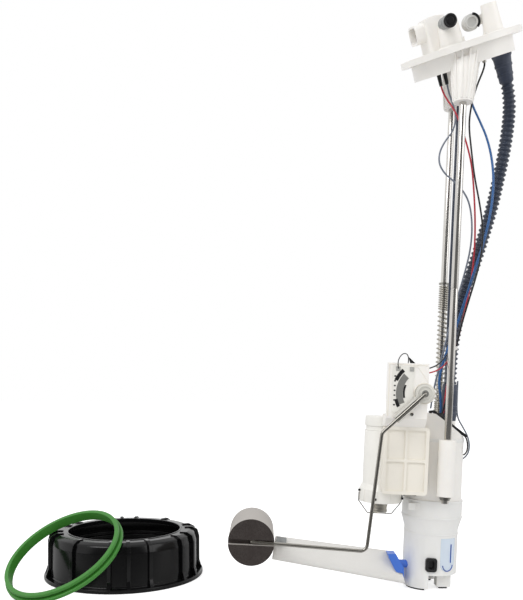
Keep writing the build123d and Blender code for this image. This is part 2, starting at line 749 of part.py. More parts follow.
with BuildPart() as flange:
    turned(
        FLANGE,
        0,
        0,
        [
            (0, 0),
            (spigot_r - spigot_wall, 0),
            (spigot_r - spigot_wall, -spigot_length),
            (spigot_r, -spigot_length),
            (spigot_r, 0),
            (flange_r, 0),
            (flange_r, flange_thickness),
            (0, flange_thickness),
        ],
    )
    turned(
        MODULE,
        front_rod_x,
        front_rod_y,
        [
            (0, front_boss_low),
            (front_boss_r_low, front_boss_low),
            (front_boss_r_high, front_boss_high),
            (0, front_boss_high),
        ],
    )
    turned(
        MODULE,
        rear_rod_x,
        rear_rod_y,
        [
            (0, rear_boss_low),
            (rear_boss_r_low, rear_boss_low),
            (rear_boss_r_high, rear_boss_high),
            (0, rear_boss_high),
        ],
    )
    post(FLANGE, 0, 0, flange_thickness, flange_thickness + 20, flange_r, mode=Mode.SUBTRACT)
    with BuildSketch(FLANGE) as seat_face:
        Circle(flange_r + 10)
        Circle(spigot_r, mode=Mode.SUBTRACT)
    extrude(seat_face.sketch, amount=-seat_relief, mode=Mode.SUBTRACT)
    post(MODULE, front_rod_x, front_rod_y, front_boss_low, front_rod_high, bore_gap, mode=Mode.SUBTRACT)
    post(MODULE, rear_rod_x, rear_rod_y, rear_boss_low, rear_rod_high, bore_gap, mode=Mode.SUBTRACT)
    turned(
        FLANGE,
        front_post_x,
        front_post_y,
        [(0, 0), (front_post_r_low, 0), (front_post_r_high, front_post_top), (0, front_post_top)],
    )
    turned(
        FLANGE,
        tall_post_x,
        tall_post_y,
        [(0, 0), (tall_post_r_low, 0), (tall_post_r_high, tall_post_top), (0, tall_post_top)],
    )
    block(FLANGE, *socket_block, (0, socket_block_top), round_r=3)
    with BuildSketch(along(FLANGE, socket_block[0][0] + 1, shroud_y, shroud_z)) as shroud:
        RectangleRounded(2 * shroud_half_width, 2 * shroud_half_height, 5)
    extrude(shroud.sketch, amount=socket_block[0][0] + 1 - shroud_left)
    with BuildSketch(along(FLANGE, shroud_left, shroud_y, shroud_z)) as shroud_mouth:
        RectangleRounded(2 * (shroud_half_width - shroud_wall), 2 * (shroud_half_height - shroud_wall), 3.5)
    extrude(shroud_mouth.sketch, amount=-(socket_block[0][0] - shroud_left), mode=Mode.SUBTRACT)
    post(FLANGE, outlet_x, outlet_y, -outlet_length, 0, outlet_r)
    arm_low, arm_high = nipple_2_z - nipple_arm_half, nipple_2_z + nipple_arm_half
    web_x = (tall_post_x - nipple_arm_half, tall_post_x + nipple_arm_half)
    block(FLANGE, web_x, (tall_post_y, nipple_2_far - 1), (0, arm_high))
    block(FLANGE, (nipple_2_x, web_x[1]), (nipple_2_near + 4, nipple_2_far - 1), (arm_low, arm_high))
    with BuildSketch(across(FLANGE, nipple_2_x, nipple_2_far, nipple_2_z)) as cradle:
        Circle(nipple_2_r)
    extrude(cradle.sketch, amount=nipple_2_far - nipple_2_near, mode=Mode.SUBTRACT)
    with BuildSketch(across(FLANGE, nipple_1_x, nipple_1_root, nipple_1_z)) as seat:
        Circle(nipple_root_r + fit)
    extrude(seat.sketch, amount=nipple_1_root - nipple_1_end, mode=Mode.SUBTRACT)
    block(
        FLANGE,
        (ground_x - ground_width / 2 - fit, ground_x + ground_width / 2 + fit),
        (ground_y - ground_crimp_r - 2, ground_y + ground_crimp_r),
        (ground_low, 0),
        mode=Mode.SUBTRACT,
    )
flange.part.label = "flange"
export_step(flange.part, "parts/flange.step")

with BuildPart() as nipple_1:
    with BuildSketch(across(FLANGE, nipple_1_x, nipple_1_root, nipple_1_z)) as root:
        Circle(nipple_root_r)
    extrude(root.sketch, amount=nipple_1_root - nipple_1_base)
    with BuildSketch(across(FLANGE, nipple_1_x, nipple_1_base, nipple_1_z)) as stub:
        Circle(nipple_1_r)
    extrude(stub.sketch, amount=nipple_1_base - nipple_1_end)
    with BuildSketch(across(FLANGE, nipple_1_x, nipple_1_end, nipple_1_z)) as tip:
        Circle(nipple_cap_r - nipple_lip)
    extrude(tip.sketch, amount=nipple_cap_length - nipple_lip / 2)
nipple_1.part.label = "nipple_1"
export_step(nipple_1.part, "parts/nipple_1.step")

with BuildPart() as nipple_caps:
    with BuildSketch(across(FLANGE, nipple_1_x, nipple_1_end, nipple_1_z)) as cap_outline:
        Circle(nipple_cap_r)
    extrude(cap_outline.sketch, amount=nipple_cap_length)
    with BuildSketch(across(FLANGE, nipple_1_x, nipple_1_end, nipple_1_z)) as cap_bore:
        Circle(nipple_cap_r - nipple_lip + fit)
    extrude(cap_bore.sketch, amount=nipple_cap_length - nipple_lip / 2 + fit, mode=Mode.SUBTRACT)
    ring_back = nipple_2_near + nipple_ring_length
    with BuildSketch(across(FLANGE, nipple_2_x, ring_back, nipple_2_z)) as ring_outline:
        Circle(nipple_2_r + 0.2)
        Circle(nipple_2_r - nipple_lip + fit, mode=Mode.SUBTRACT)
    extrude(ring_outline.sketch, amount=nipple_ring_length)
nipple_caps.part.label = "nipple_caps"
export_step(nipple_caps.part, "parts/nipple_caps.step")

with BuildPart() as nipple_2:
    with BuildSketch(across(FLANGE, nipple_2_x, nipple_2_far, nipple_2_z)) as barrel:
        Circle(nipple_2_r)
    extrude(barrel.sketch, amount=nipple_2_far - ring_back)
    with BuildSketch(across(FLANGE, nipple_2_x, ring_back, nipple_2_z)) as core:
        Circle(nipple_2_r - nipple_lip)
    extrude(core.sketch, amount=nipple_ring_length)
nipple_2.part.label = "nipple_2"
export_step(nipple_2.part, "parts/nipple_2.step")

pin_count, pin_pitch = 4, 3.8
with BuildPart() as terminal_pins:
    for row in range(pin_count):
        offset_y = shroud_y + (row - (pin_count - 1) / 2) * pin_pitch
        with BuildSketch(along(FLANGE, socket_block[0][0], offset_y, shroud_z)) as pin:
            Rectangle(1.6, 2.4)
        extrude(pin.sketch, amount=4.5)
terminal_pins.part.label = "terminal_pins"
export_step(terminal_pins.part, "parts/terminal_pins.step")

boot_end_z, boot_r_low, boot_r_high = -24.0, 1.6, 2.4
with BuildPart() as terminal_boots:
    for place in terminal_places:
        turned(FLANGE, *place, [(0, boot_end_z), (boot_r_low, boot_end_z), (boot_r_high, 0), (0, 0)])
terminal_boots.part.label = "terminal_boots"
export_step(terminal_boots.part, "parts/terminal_boots.step")

with BuildPart() as ground_terminal:
    block(
        FLANGE,
        (ground_x - ground_width / 2, ground_x + ground_width / 2),
        (ground_y - ground_thickness / 2, ground_y + ground_thickness / 2),
        (ground_low, 0),
    )
    post(FLANGE, ground_x, ground_y - 0.2, ground_low, ground_low + ground_crimp_length, ground_crimp_r)
ground_terminal.part.label = "ground_terminal"
export_step(ground_terminal.part, "parts/ground_terminal.step")

with BuildPart() as upper_boot:
    turned(
        FLANGE,
        outlet_x,
        outlet_y,
        [
            (outlet_r + fit, 0),
            (upper_boot_r_high, 0),
            (upper_boot_r_high, -16),
            (upper_boot_r_low, -upper_boot_length),
            (outlet_r + fit, -upper_boot_length),
        ],
    )
upper_boot.part.label = "upper_boot"
export_step(upper_boot.part, "parts/upper_boot.step")

# === hose and wires between flange and reservoir ====================================================
hose_top = (-upper_boot_length, -upper_boot_length - 14)
hose_route = placed(FLANGE, [(outlet_x, outlet_y, depth) for depth in hose_top])
hose_route += placed(
    MODULE,
    [
        (53.7, -5.0, 432.0),
        (51.0, -5.5, 405.0),
        (46.4, -5.5, 377.0),
        (41.6, -5.0, 350.0),
        (35.0, -4.5, 323.0),
        (27.6, -4.0, 296.0),
        (19.5, -3.0, 268.5),
        (14.4, -2.4, 242.0),
        (12.0, -1.8, 222.0),
        (hose_x, hose_y, lower_boot_top + 18.0),
        (hose_x, hose_y, lower_boot_top),
    ],
)
with BuildPart() as hose:
    cord("hose", hose_route, hose_r)
hose.part.label = "hose"
export_step(hose.part, "parts/hose.step")

wire_r = 0.8
blue_apart, blue_start = (1.1, 1.55), (-8.2, -10.0)
blue_route = [
    (8.0, -18.0, 462.0),
    (13.9, -21.0, 441.0),
    (22.0, -21.0, 425.5),
    (29.0, -21.5, 411.0),
    (34.2, -22.0, 393.0),
    (36.9, -22.5, 372.0),
    (36.4, -22.5, 351.0),
    (33.6, -22.0, 330.5),
    (29.2, -21.5, 310.0),
    (23.9, -21.0, 291.0),
    (18.4, -20.0, 270.0),
    (13.2, -18.0, 248.5),
    (7.6, -15.5, 229.0),
    (2.6, -12.5, 212.0),
    (-2.2, -10.5, 190.0),
    (grommet_x - blue_apart[0] / 2, grommet_y - blue_apart[1] / 2, 172.0),
    (grommet_x - blue_apart[0] / 2, grommet_y - blue_apart[1] / 2, 158.0),
]
blue_top_run = 8.0
with BuildPart() as blue_wires:
    for across_x, back_y in ((0, 0), blue_apart):
        blue_x, blue_y = blue_start[0] + across_x, blue_start[1] + back_y
        blue_top = [(blue_x, blue_y, depth) for depth in (0, -blue_top_run)]
        blue_rest = [(x + across_x, y + back_y, z) for x, y, z in blue_route]
        cord("blue_wires", placed(FLANGE, blue_top) + placed(MODULE, blue_rest), wire_r)
blue_wires.part.label = "blue_wires"
export_step(blue_wires.part, "parts/blue_wires.step")

red_route = placed(FLANGE, [(*terminal_places[0], boot_end_z), (*terminal_places[0], boot_end_z - 7)])
red_route += placed(
    MODULE,
    [
        (3.0, -14.0, 434.0),
        (11.6, -15.0, 411.0),
        (18.4, -16.0, 388.0),
        (21.4, -17.0, 362.0),
        (23.6, -17.0, 337.0),
        (24.5, -16.5, 312.0),
        (23.6, -15.5, 287.0),
        (20.4, -13.5, 262.0),
        (16.2, -12.6, 238.0),
        (12.0, -12.0, 217.0),
        (8.0, -11.8, 198.0),
        (5.2, -11.0, 178.0),
        (4.2, -10.2, 160.0),
    ],
)
with BuildPart() as red_wire:
    cord("red_wire", red_route, wire_r)
red_wire.part.label = "red_wire"
export_step(red_wire.part, "parts/red_wire.step")

black_route = placed(FLANGE, [(ground_x, ground_y, ground_low), (ground_x, ground_y, ground_low - 3)])
black_route += placed(
    MODULE,
    [
        (15.7, -30.0, 452.0),
        (12.8, -27.0, 437.0),
        (11.8, -24.5, 420.0),
        (15.0, -25.0, 398.0),
        (18.6, -25.5, 374.0),
        (24.6, -26.0, 349.0),
        (28.8, -26.0, 326.0),
        (28.2, -25.5, 302.0),
        (24.0, -24.5, 281.0),
        (18.4, -23.5, 259.0),
        (13.4, -22.0, 237.0),
        (10.2, -20.0, 216.0),
        (8.4, -18.0, 196.0),
        (6.0, -15.5, 176.0),
        (2.4, -13.6, 159.5),
    ],
)
with BuildPart() as black_wire:
    cord("black_wire", black_route, wire_r)
black_wire.part.label = "black_wire"
export_step(black_wire.part, "parts/black_wire.step")

sensor_route = placed(FLANGE, [(*terminal_places[1], boot_end_z), (*terminal_places[1], boot_end_z - 7)])
sensor_route += placed(
    MODULE,
    [
        (-0.6, -7.6, 447.5),
        (2.6, -10.0, 437.0),
        (3.6, -10.5, 427.0),
        (1.0, -9.5, 417.5),
        (-5.2, -8.5, 409.0),
        (-9.6, -8.0, 399.0),
        (-9.6, -8.0, 388.5),
        (-4.0, -8.5, 379.5),
        (4.5, -9.0, 373.0),
        (12.5, -9.5, 365.5),
        (19.6, -10.0, 354.0),
        (23.0, -10.5, 334.0),
        (22.6, -10.5, 312.0),
        (18.4, -10.0, 290.0),
        (13.0, -9.5, 268.0),
        (8.0, -9.0, 245.0),
        (3.4, -8.5, 222.0),
        (0.0, -7.0, 203.0),
        (-4.4, -6.2, 184.0),
        (-6.6, -6.2, 163.5),
    ],
)
with BuildPart() as sensor_wire:
    cord("sensor_wire", sensor_route, wire_r)
sensor_wire.part.label = "sensor_wire"
export_step(sensor_wire.part, "parts/sensor_wire.step")

vent_x, vent_y, vent_r = 12.6, 20.5, 1.3
vent_low = rim_top + slope * (housing_r - vent_x) + 1.3
with BuildPart() as vent_tube:
    post(MODULE, vent_x, vent_y, vent_low, rear_boss_low - stop_gap, vent_r)
vent_tube.part.label = "vent_tube"
export_step(vent_tube.part, "parts/vent_tube.step")

lead_rise = 2.1  # the flat sleeve lies this far above the lid's slope


def on_slope(x, rise):
    """Height of a point above the lid's slope."""
    return lid_peak - slope * (x - slope_start) + rise


sleeve_y, sleeve_r = -13.4, 1.7
sleeve_start, sleeve_end = slope_start + 0.5, 21.6
pump_lead_r = 0.7
blue_lead_x = hose_x + lower_boot_r + pump_lead_r + 0.2
sleeve_route = [(x, sleeve_y, on_slope(x, lead_rise)) for x in (sleeve_start, sleeve_end)]
black_lead_route = [(x, sleeve_y, on_slope(x, lead_rise)) for x in (sleeve_end, sleeve_end + 3.4)]
black_lead_route += [
    (27.2, -12.6, 133.5),
    (28.0, -10.0, 127.5),
    (27.4, -6.5, 123.4),
    (housing_r + 0.8, -2.5, 122.0),
]
blue_lead_route = [
    (blue_lead_x, 2.0, lower_boot_top + 3),
    (blue_lead_x, 2.0, 170.0),
    (20.4, 2.0, 156.0),
    (26.4, 2.0, 147.0),
    (32.0, 2.5, 137.5),
    (34.0, 4.0, 127.0),
    (31.4, 7.0, 118.5),
    (housing_r - 0.9, 9.0, 114.6),
]
with BuildPart() as pump_leads:
    cord("pump_leads", placed(MODULE, sleeve_route), sleeve_r)
    cord("pump_leads", placed(MODULE, black_lead_route), pump_lead_r)
    cord("pump_leads", placed(MODULE, blue_lead_route), pump_lead_r)
pump_leads.part.label = "pump_leads"
export_step(pump_leads.part, "parts/pump_leads.step")

# === sender =========================================================================================
bulge_r = 9.0
support_back = -28.2
with BuildPart() as sender_plate:
    with BuildSketch(facing(MODULE, plate_back)) as plate:
        with BuildLine():
            Polyline(
                (plate_left, plate_low),
                (plate_left, plate_high),
                (plate_right, plate_high),
                (plate_right, plate_low),
                close=True,
            )
        make_face()
        with Locations((hub_x, hub_z)):
            Circle(bulge_r)
    extrude(plate.sketch, amount=plate_back - plate_front)
    foot_plane = Plane(origin=inside(MODULE, plate_left, 0, 0), x_dir=MODULE.y_dir, z_dir=MODULE.x_dir)
    with BuildSketch(foot_plane) as foot:
        with BuildLine():
            Polyline(
                (plate_front, plate_low),
                (box_front, box_high),
                (support_back, box_high),
                (support_back, plate_low + 3),
                (plate_front, plate_low + 3),
                close=True,
            )
        make_face()
    extrude(foot.sketch, amount=plate_right - plate_left)
    with BuildSketch(facing(MODULE, plate_front)) as pivot_hole:
        with Locations((hub_x, hub_z)):
            Circle(arm_wire_r + pivot_play)
    extrude(pivot_hole.sketch, amount=-(plate_back - plate_front), mode=Mode.SUBTRACT)
sender_plate.part.label = "sender_plate"
export_step(sender_plate.part, "parts/sender_plate.step")

card_left, card_right, card_low, card_high = -50.0, -31.5, 160.0, 200.0
card_front = plate_front - card_thickness
with BuildPart() as sender_card:
    with BuildSketch(facing(MODULE, plate_front)) as card:
        with Locations(((card_left + card_right) / 2, (card_low + card_high) / 2)):
            RectangleRounded(card_right - card_left, card_high - card_low, 1)
    extrude(card.sketch, amount=card_thickness)
sender_card.part.label = "sender_card"
export_step(sender_card.part, "parts/sender_card.step")

track_start, track_sweep = 136.0, 71.0
track_thickness, contact_thickness, contact_size = 0.2, 0.8, 4.0
contact_places = ((-46.3, 197.2), (-34.2, 197.0))
with BuildPart() as resistor_track:
    with BuildSketch(facing(MODULE, card_front)) as track:
        with BuildLine():
            CenterArc((hub_x, hub_z), track_mid_r, track_start, track_sweep)
            offset(amount=track_width / 2)
        make_face()
    extrude(track.sketch, amount=track_thickness)
    with BuildSketch(facing(MODULE, card_front)) as contacts:
        with Locations(*contact_places):
            Rectangle(contact_size, contact_size)
    extrude(contacts.sketch, amount=contact_thickness)
resistor_track.part.label = "resistor_track"
export_step(resistor_track.part, "parts/resistor_track.step")

arm_start = Vector(hub_x, arm_wire_y, hub_z)
first_turn = Vector(bend_1[0], arm_wire_y, bend_1[1])
arm_slope = (first_turn - arm_start).normalized()
with BuildPart() as arm_holder:
    with BuildSketch(facing(MODULE, hub_back)) as holder:
        with Locations((hub_x, hub_z)):
            Circle(hub_r)
        with Locations(
            Location(
                (
                    hub_x + arm_slope.X * arm_clip_length / 2,
                    hub_z + arm_slope.Z * arm_clip_length / 2,
                ),
                Vector(1, 0, 0).get_signed_angle(Vector(arm_slope.X, arm_slope.Z, 0), Vector(0, 0, 1)),
            )
        ):
            Rectangle(arm_clip_length, arm_clip_width)
    extrude(holder.sketch, amount=hub_back - hub_front)
    with BuildSketch(facing(MODULE, hub_back)) as card_relief:
        with Locations((hub_x, hub_z)):
            Rectangle(6 * arm_clip_length, 6 * arm_clip_length)
            Circle(hub_r, mode=Mode.SUBTRACT)
    extrude(card_relief.sketch, amount=card_thickness + 0.9, mode=Mode.SUBTRACT)
    with BuildSketch(facing(MODULE, hub_back)) as wire_bore:
        with Locations((hub_x, hub_z)):
            Circle(arm_wire_r)
    extrude(wire_bore.sketch, amount=hub_back - hub_front, mode=Mode.SUBTRACT)
arm_holder.part.label = "arm_holder"
export_step(arm_holder.part, "parts/arm_holder.step")

wire_route = [
    (hub_x, plate_back, hub_z),
    (hub_x, arm_wire_y, hub_z),
    (bend_1[0], arm_wire_y, bend_1[1]),
    (bend_2[0], arm_wire_y, bend_2[1]),
    (float_x, arm_wire_y, float_z),
    (float_x, arm_wire_y + 16, float_z),
]
with BuildPart() as float_wire:
    with BuildLine() as wire_path:
        FilletPolyline(*placed(MODULE, wire_route), radius=[1.6, bend_r, bend_r, 1.6])
    with BuildSketch(Plane(origin=wire_path.line @ 0, z_dir=wire_path.line % 0)) as wire_section:
        Circle(arm_wire_r)
    sweep(wire_section.sketch, path=wire_path.line)
float_wire.part.label = "float_wire"
export_step(float_wire.part, "parts/float_wire.step")

with BuildPart() as float_body:
    with BuildSketch(across(MODULE, float_x, float_front + float_length, float_z)) as float_outline:
        Circle(float_r)
    extrude(float_outline.sketch, amount=float_length)
    with BuildSketch(across(MODULE, float_x, float_front, float_z)) as float_slot:
        Rectangle(2 * float_r, float_slot_width)
    extrude(float_slot.sketch, amount=-float_slot_depth, mode=Mode.SUBTRACT)
    with BuildSketch(across(MODULE, float_x, float_front, float_z)) as float_bore:
        Circle(arm_wire_r + fit)
    extrude(float_bore.sketch, amount=-22, mode=Mode.SUBTRACT)
float_body.part.label = "float_body"
export_step(float_body.part, "parts/float_body.step")

with BuildPart() as sender_cover:
    box_back = box_front + box_depth
    with BuildSketch(facing(MODULE, box_back)) as cover:
        with Locations(((box_left + box_right) / 2, (box_low + box_high) / 2)):
            RectangleRounded(box_right - box_left, box_high - box_low, 3)
    extrude(cover.sketch, amount=box_depth)
    panel_width = (box_right - box_left - 2 * box_rim - box_rib) / 2
    panel_height = (box_high - box_low - 2 * box_rim - box_rib) / 2
    with BuildSketch(facing(MODULE, box_front)) as panels:
        with Locations(((box_left + box_right) / 2, (box_low + box_high) / 2)):
            with GridLocations(panel_width + box_rib, panel_height + box_rib, 2, 2):
                RectangleRounded(panel_width, panel_height, 1.2)
    extrude(panels.sketch, amount=-box_recess, mode=Mode.SUBTRACT)
    with BuildSketch(facing(MODULE, box_back)) as cover_inside:
        with Locations(((box_left + box_right) / 2, (box_low + box_high) / 2)):
            Rectangle(box_right - box_left - 2 * wall, box_high - box_low - 2 * wall)
    extrude(cover_inside.sketch, amount=box_depth - box_recess - wall, mode=Mode.SUBTRACT)
    post(MODULE, 0, 0, box_low - 5, box_high + 5, housing_r, mode=Mode.SUBTRACT)
    base_gap, body_gap = canister_base_r + stop_gap, canister_r + stop_gap
    post(MODULE, canister_x, canister_y, box_low - 5, canister_step + stop_gap, base_gap, Mode.SUBTRACT)
    post(MODULE, canister_x, canister_y, canister_step, box_high + 5, body_gap, Mode.SUBTRACT)
sender_cover.part.label = "sender_cover"
export_step(sender_cover.part, "parts/sender_cover.step")

# === filter canister ================================================================================
regulator_top = canister_low + 6.0
cap_skirt = 6.0
with BuildPart() as filter_canister:
    turned(
        MODULE,
        canister_x,
        canister_y,
        [
            (regulator_r + fit, canister_low),
            (canister_base_r, canister_low),
            (canister_base_r, canister_step),
            (canister_r, canister_step),
            (canister_r, canister_groove_low),
            (canister_r - canister_wall, canister_groove_low),
            (canister_r - canister_wall, regulator_top + canister_wall),
            (3, regulator_top + canister_wall),
            (3, regulator_top),
            (regulator_r + fit, regulator_top),
        ],
    )
filter_canister.part.label = "filter_canister"
export_step(filter_canister.part, "parts/filter_canister.step")

with BuildPart() as canister_cap:
    turned(
        MODULE,
        canister_x,
        canister_y,
        [
            (0, canister_high),
            (canister_r, canister_high),
            (canister_r, canister_groove_high),
            (canister_r - canister_groove_depth, canister_groove_high),
            (canister_r - canister_groove_depth, canister_groove_low),
            (canister_r - canister_wall - fit, canister_groove_low),
            (canister_r - canister_wall - fit, canister_groove_low - cap_skirt),
            (canister_r - 2 * canister_wall, canister_groove_low - cap_skirt),
            (canister_r - 2 * canister_wall, canister_high - canister_wall),
            (0, canister_high - canister_wall),
        ],
    )
canister_cap.part.label = "canister_cap"
export_step(canister_cap.part, "parts/canister_cap.step")

with BuildPart() as filter_element:
    with BuildSketch(MODULE.offset(regulator_top + canister_wall)) as element:
        with Locations((canister_x, canister_y)):
            Circle(canister_r - canister_wall - 2.5)
            Circle(5, mode=Mode.SUBTRACT)
    extrude(element.sketch, amount=canister_groove_low - cap_skirt - 1 - regulator_top - canister_wall)
filter_element.part.label = "filter_element"
export_step(filter_element.part, "parts/filter_element.step")

with BuildPart() as pressure_regulator:
    turned(
        MODULE,
        canister_x,
        canister_y,
        [
            (0, regulator_low),
            (regulator_r - 0.8, regulator_low),
            (regulator_r, regulator_low + 0.8),
            (regulator_r, regulator_top),
            (0, regulator_top),
        ],
    )
pressure_regulator.part.label = "pressure_regulator"
export_step(pressure_regulator.part, "parts/pressure_regulator.step")

bail_r = 0.45
bail_drop = regulator_low - bail_r - fit
with BuildPart() as regulator_bail:
    bail_left = canister_x - canister_base_r - bail_r - fit
    bail_right = canister_x + canister_base_r + bail_r + fit
    bail_points = [
        (bail_left, canister_y, canister_low + 8),
        (bail_left, canister_y, canister_low),
        (canister_x - regulator_r - 4, canister_y, bail_drop),
        (canister_x + regulator_r + 4, canister_y, bail_drop),
        (bail_right, canister_y, canister_low),
        (bail_right, canister_y, canister_low + 8),
    ]
    with BuildLine() as bail_path:
        FilletPolyline(*placed(MODULE, bail_points), radius=2)
    with BuildSketch(Plane(origin=bail_path.line @ 0, z_dir=bail_path.line % 0)) as bail_section:
        Circle(bail_r)
    sweep(bail_section.sketch, path=bail_path.line)
regulator_bail.part.label = "regulator_bail"
export_step(regulator_bail.part, "parts/regulator_bail.step")

# === strainer =======================================================================================
with BuildPart() as strainer_sock:
    with BuildSketch(SOCK.offset(-sock_thickness / 2)) as sock_outline:
        with BuildLine():
            Polyline(
                (0, -sock_end_width / 2),
                (sock_length, -sock_tip_high),
                (sock_length, sock_tip_low),
                (-sock_slant, sock_end_width / 2),
                close=True,
            )
        make_face()
    extrude(sock_outline.sketch, amount=sock_thickness)
    fillet(strainer_sock.edges().filter_by(Axis((0, 0, 0), SOCK.z_dir)), 3)
strainer_sock.part.label = "strainer_sock"
export_step(strainer_sock.part, "parts/strainer_sock.step")

tab_size = (9.0, 7.0, 2.5)
with BuildPart() as strainer_tab:
    tab_low = sock_thickness / 2 + fit
    block(
        SOCK,
        (sock_length - tab_size[0] - 1, sock_length - 1),
        (-tab_size[1] / 2, tab_size[1] / 2),
        (tab_low, tab_low + tab_size[2]),
        round_r=1,
    )
strainer_tab.part.label = "strainer_tab"
export_step(strainer_tab.part, "parts/strainer_tab.step")

with BuildPart() as strainer_connector:
    with BuildSketch(facing(MODULE, connector_y_range[1])) as connector_side:
        with BuildLine():
            Polyline(
                (-42.2, 31.0),
                (-35.0, 31.3),
                (-27.2, 19.0),
                (-26.6, 5.5),
                (-35.2, 16.8),
                (-40.1, 25.6),
                close=True,
            )
        make_face()
    extrude(connector_side.sketch, amount=connector_y_range[1] - connector_y_range[0])
    with BuildSketch(Plane(origin=inside(MODULE, pipe_end, pipe_y, pipe_z), z_dir=-MODULE.x_dir)) as pipe:
        Circle(pipe_r)
    extrude(pipe.sketch, amount=pipe_end + 30.0)
    with BuildSketch(SOCK.offset(-sock_thickness / 2 - fit)) as sock_seat:
        with BuildLine():
            Polyline(
                (sock_slant / 2 - 2 * fit, -sock_end_width),
                (sock_length, -sock_end_width),
                (sock_length, sock_end_width),
                (-1.5 * sock_slant - 2 * fit, sock_end_width),
                close=True,
            )
        make_face()
    extrude(sock_seat.sketch, amount=sock_thickness + 2 * fit, mode=Mode.SUBTRACT)
strainer_connector.part.label = "strainer_connector"
export_step(strainer_connector.part, "parts/strainer_connector.step")

# === cable tie and sender leads =====================================================================
tie_z = 219.0
with BuildPart() as cable_tie:
    block(MODULE, (4.6, 10.6), (-26.6, -21.4), (tie_z - 1.6, tie_z + 1.6), round_r=1)
cable_tie.part.label = "cable_tie"
export_step(cable_tie.part, "parts/cable_tie.step")

lead_r = 0.6
lead_start_y = (plate_front + plate_back) / 2
lead_start_x = plate_right + 0.4
lead_end_x = plate_right + 5
black_sender_route = [
    (lead_start_x, lead_start_y, 199.5),
    (lead_end_x, lead_start_y + 0.8, 201.0),
    (-6.2, -36.5, 205.5),
    (-1.0, -30.0, 210.5),
    (2.4, -27.5, 214.6),
]
red_sender_route = [
    (lead_start_x, lead_start_y, 195.5),
    (lead_end_x, lead_start_y + 0.8, 196.6),
    (-6.4, -36.5, 200.0),
    (0.2, -30.0, 204.6),
    (4.4, -26.5, 211.0),
]
with BuildPart() as sender_leads:
    cord("sender_leads", placed(MODULE, black_sender_route), lead_r)
    cord("sender_leads", placed(MODULE, red_sender_route), lead_r)
sender_leads.part.label = "sender_leads"
export_step(sender_leads.part, "parts/sender_leads.step")

# === lock ring and gasket ===========================================================================
ring_inner_r = ring_wall_r - ring_wall
thread_depth, thread_pitch, thread_turns = 2.0, 8.0, 3
with BuildPart() as lock_ring:
    turned(
        RING,
        0,
        0,
        [
            (ring_inner_r, 0),
            (ring_base_r, 0),
            (ring_base_r, ring_base_thickness),
            (ring_wall_r, ring_base_thickness),
            (ring_wall_r, ring_height - ring_shoulder),
            (ring_wall_r - ring_shoulder * 0.3, ring_height - ring_shoulder * 0.3),
            (ring_wall_r - ring_shoulder, ring_height),
            (ring_opening_r, ring_height),
            (ring_opening_r, ring_height - ring_lip_thickness),
            (ring_inner_r, ring_height - ring_lip_thickness - 2),
        ],
    )
    for turn in range(thread_turns):
        thread_low = 6.0 + turn * thread_pitch
        turned(
            RING,
            0,
            0,
            [
                (ring_inner_r + 0.5, thread_low),
                (ring_inner_r + 0.5, thread_low + 4),
                (ring_inner_r - thread_depth, thread_low + 2.8),
                (ring_inner_r - thread_depth, thread_low + 1.2),
            ],
        )
    rib_out = ring_wall_r + ring_rib_depth
    with BuildSketch(facing(RING, 0)) as rib:
        with BuildLine():
            Polyline(
                (ring_wall_r - 1, ring_base_thickness - 1),
                (rib_out, ring_base_thickness - 1),
                (rib_out, ring_height - ring_shoulder),
                (rib_out - ring_shoulder * 0.3, ring_height - ring_shoulder * 0.1),
                (rib_out - ring_shoulder, ring_height + 1.2),
                (ring_opening_r + 4, ring_height + 1.2),
                (ring_opening_r + 4, ring_height - 1),
                (ring_wall_r - ring_shoulder - 1, ring_height - 1),
                (ring_wall_r - 1, ring_height - ring_shoulder - 1),
                close=True,
            )
        make_face()
    one_rib = extrude(rib.sketch, amount=ring_rib_width / 2, both=True, mode=Mode.PRIVATE)
    turn_step = 360 / ring_rib_count
    for count in range(ring_rib_count):
        add(one_rib.rotate(Axis(RING.origin, RING.z_dir), count * turn_step + turn_step / 2))
lock_ring.part.label = "lock_ring"
export_step(lock_ring.part, "parts/lock_ring.step")

with BuildPart() as flange_gasket:
    turned(
        GASKET,
        0,
        0,
        [
            (gasket_bore_r, -gasket_height / 2),
            (gasket_r - 2, -gasket_height / 2),
            (gasket_r - 2, -gasket_height / 2 + gasket_lip),
            (gasket_r - 2 - gasket_groove, -gasket_height / 2 + gasket_lip),
            (gasket_r - 2 - gasket_groove, gasket_height / 2 - gasket_lip),
            (gasket_r, gasket_height / 2 - gasket_lip),
            (gasket_r, gasket_height / 2),
            (gasket_bore_r, gasket_height / 2),
        ],
    )
flange_gasket.part.label = "flange_gasket"
export_step(flange_gasket.part, "parts/flange_gasket.step")
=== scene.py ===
"""Looks of the fuel pump module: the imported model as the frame, with modelled and finished pieces on it."""

import math

import bmesh
import bpy
from mathutils import Matrix, Vector


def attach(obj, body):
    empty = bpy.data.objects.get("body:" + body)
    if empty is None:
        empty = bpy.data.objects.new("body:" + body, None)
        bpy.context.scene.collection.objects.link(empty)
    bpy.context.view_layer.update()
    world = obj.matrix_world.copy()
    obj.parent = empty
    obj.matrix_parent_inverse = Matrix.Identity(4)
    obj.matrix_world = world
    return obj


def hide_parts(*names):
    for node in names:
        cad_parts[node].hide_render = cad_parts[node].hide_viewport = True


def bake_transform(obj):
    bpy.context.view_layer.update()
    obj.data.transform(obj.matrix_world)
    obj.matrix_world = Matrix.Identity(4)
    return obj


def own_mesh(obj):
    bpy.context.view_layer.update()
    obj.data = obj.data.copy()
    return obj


bl_info = {
    "name": "Fuel Pump Module",
    "version": (1, 0, 0),
    "blender": (4, 5, 0),
    "location": "View3D > Sidebar > Pump Module",
    "description": "Builds and finishes the pieces of an in-tank fuel pump module",
    "category": "Add Mesh",
}

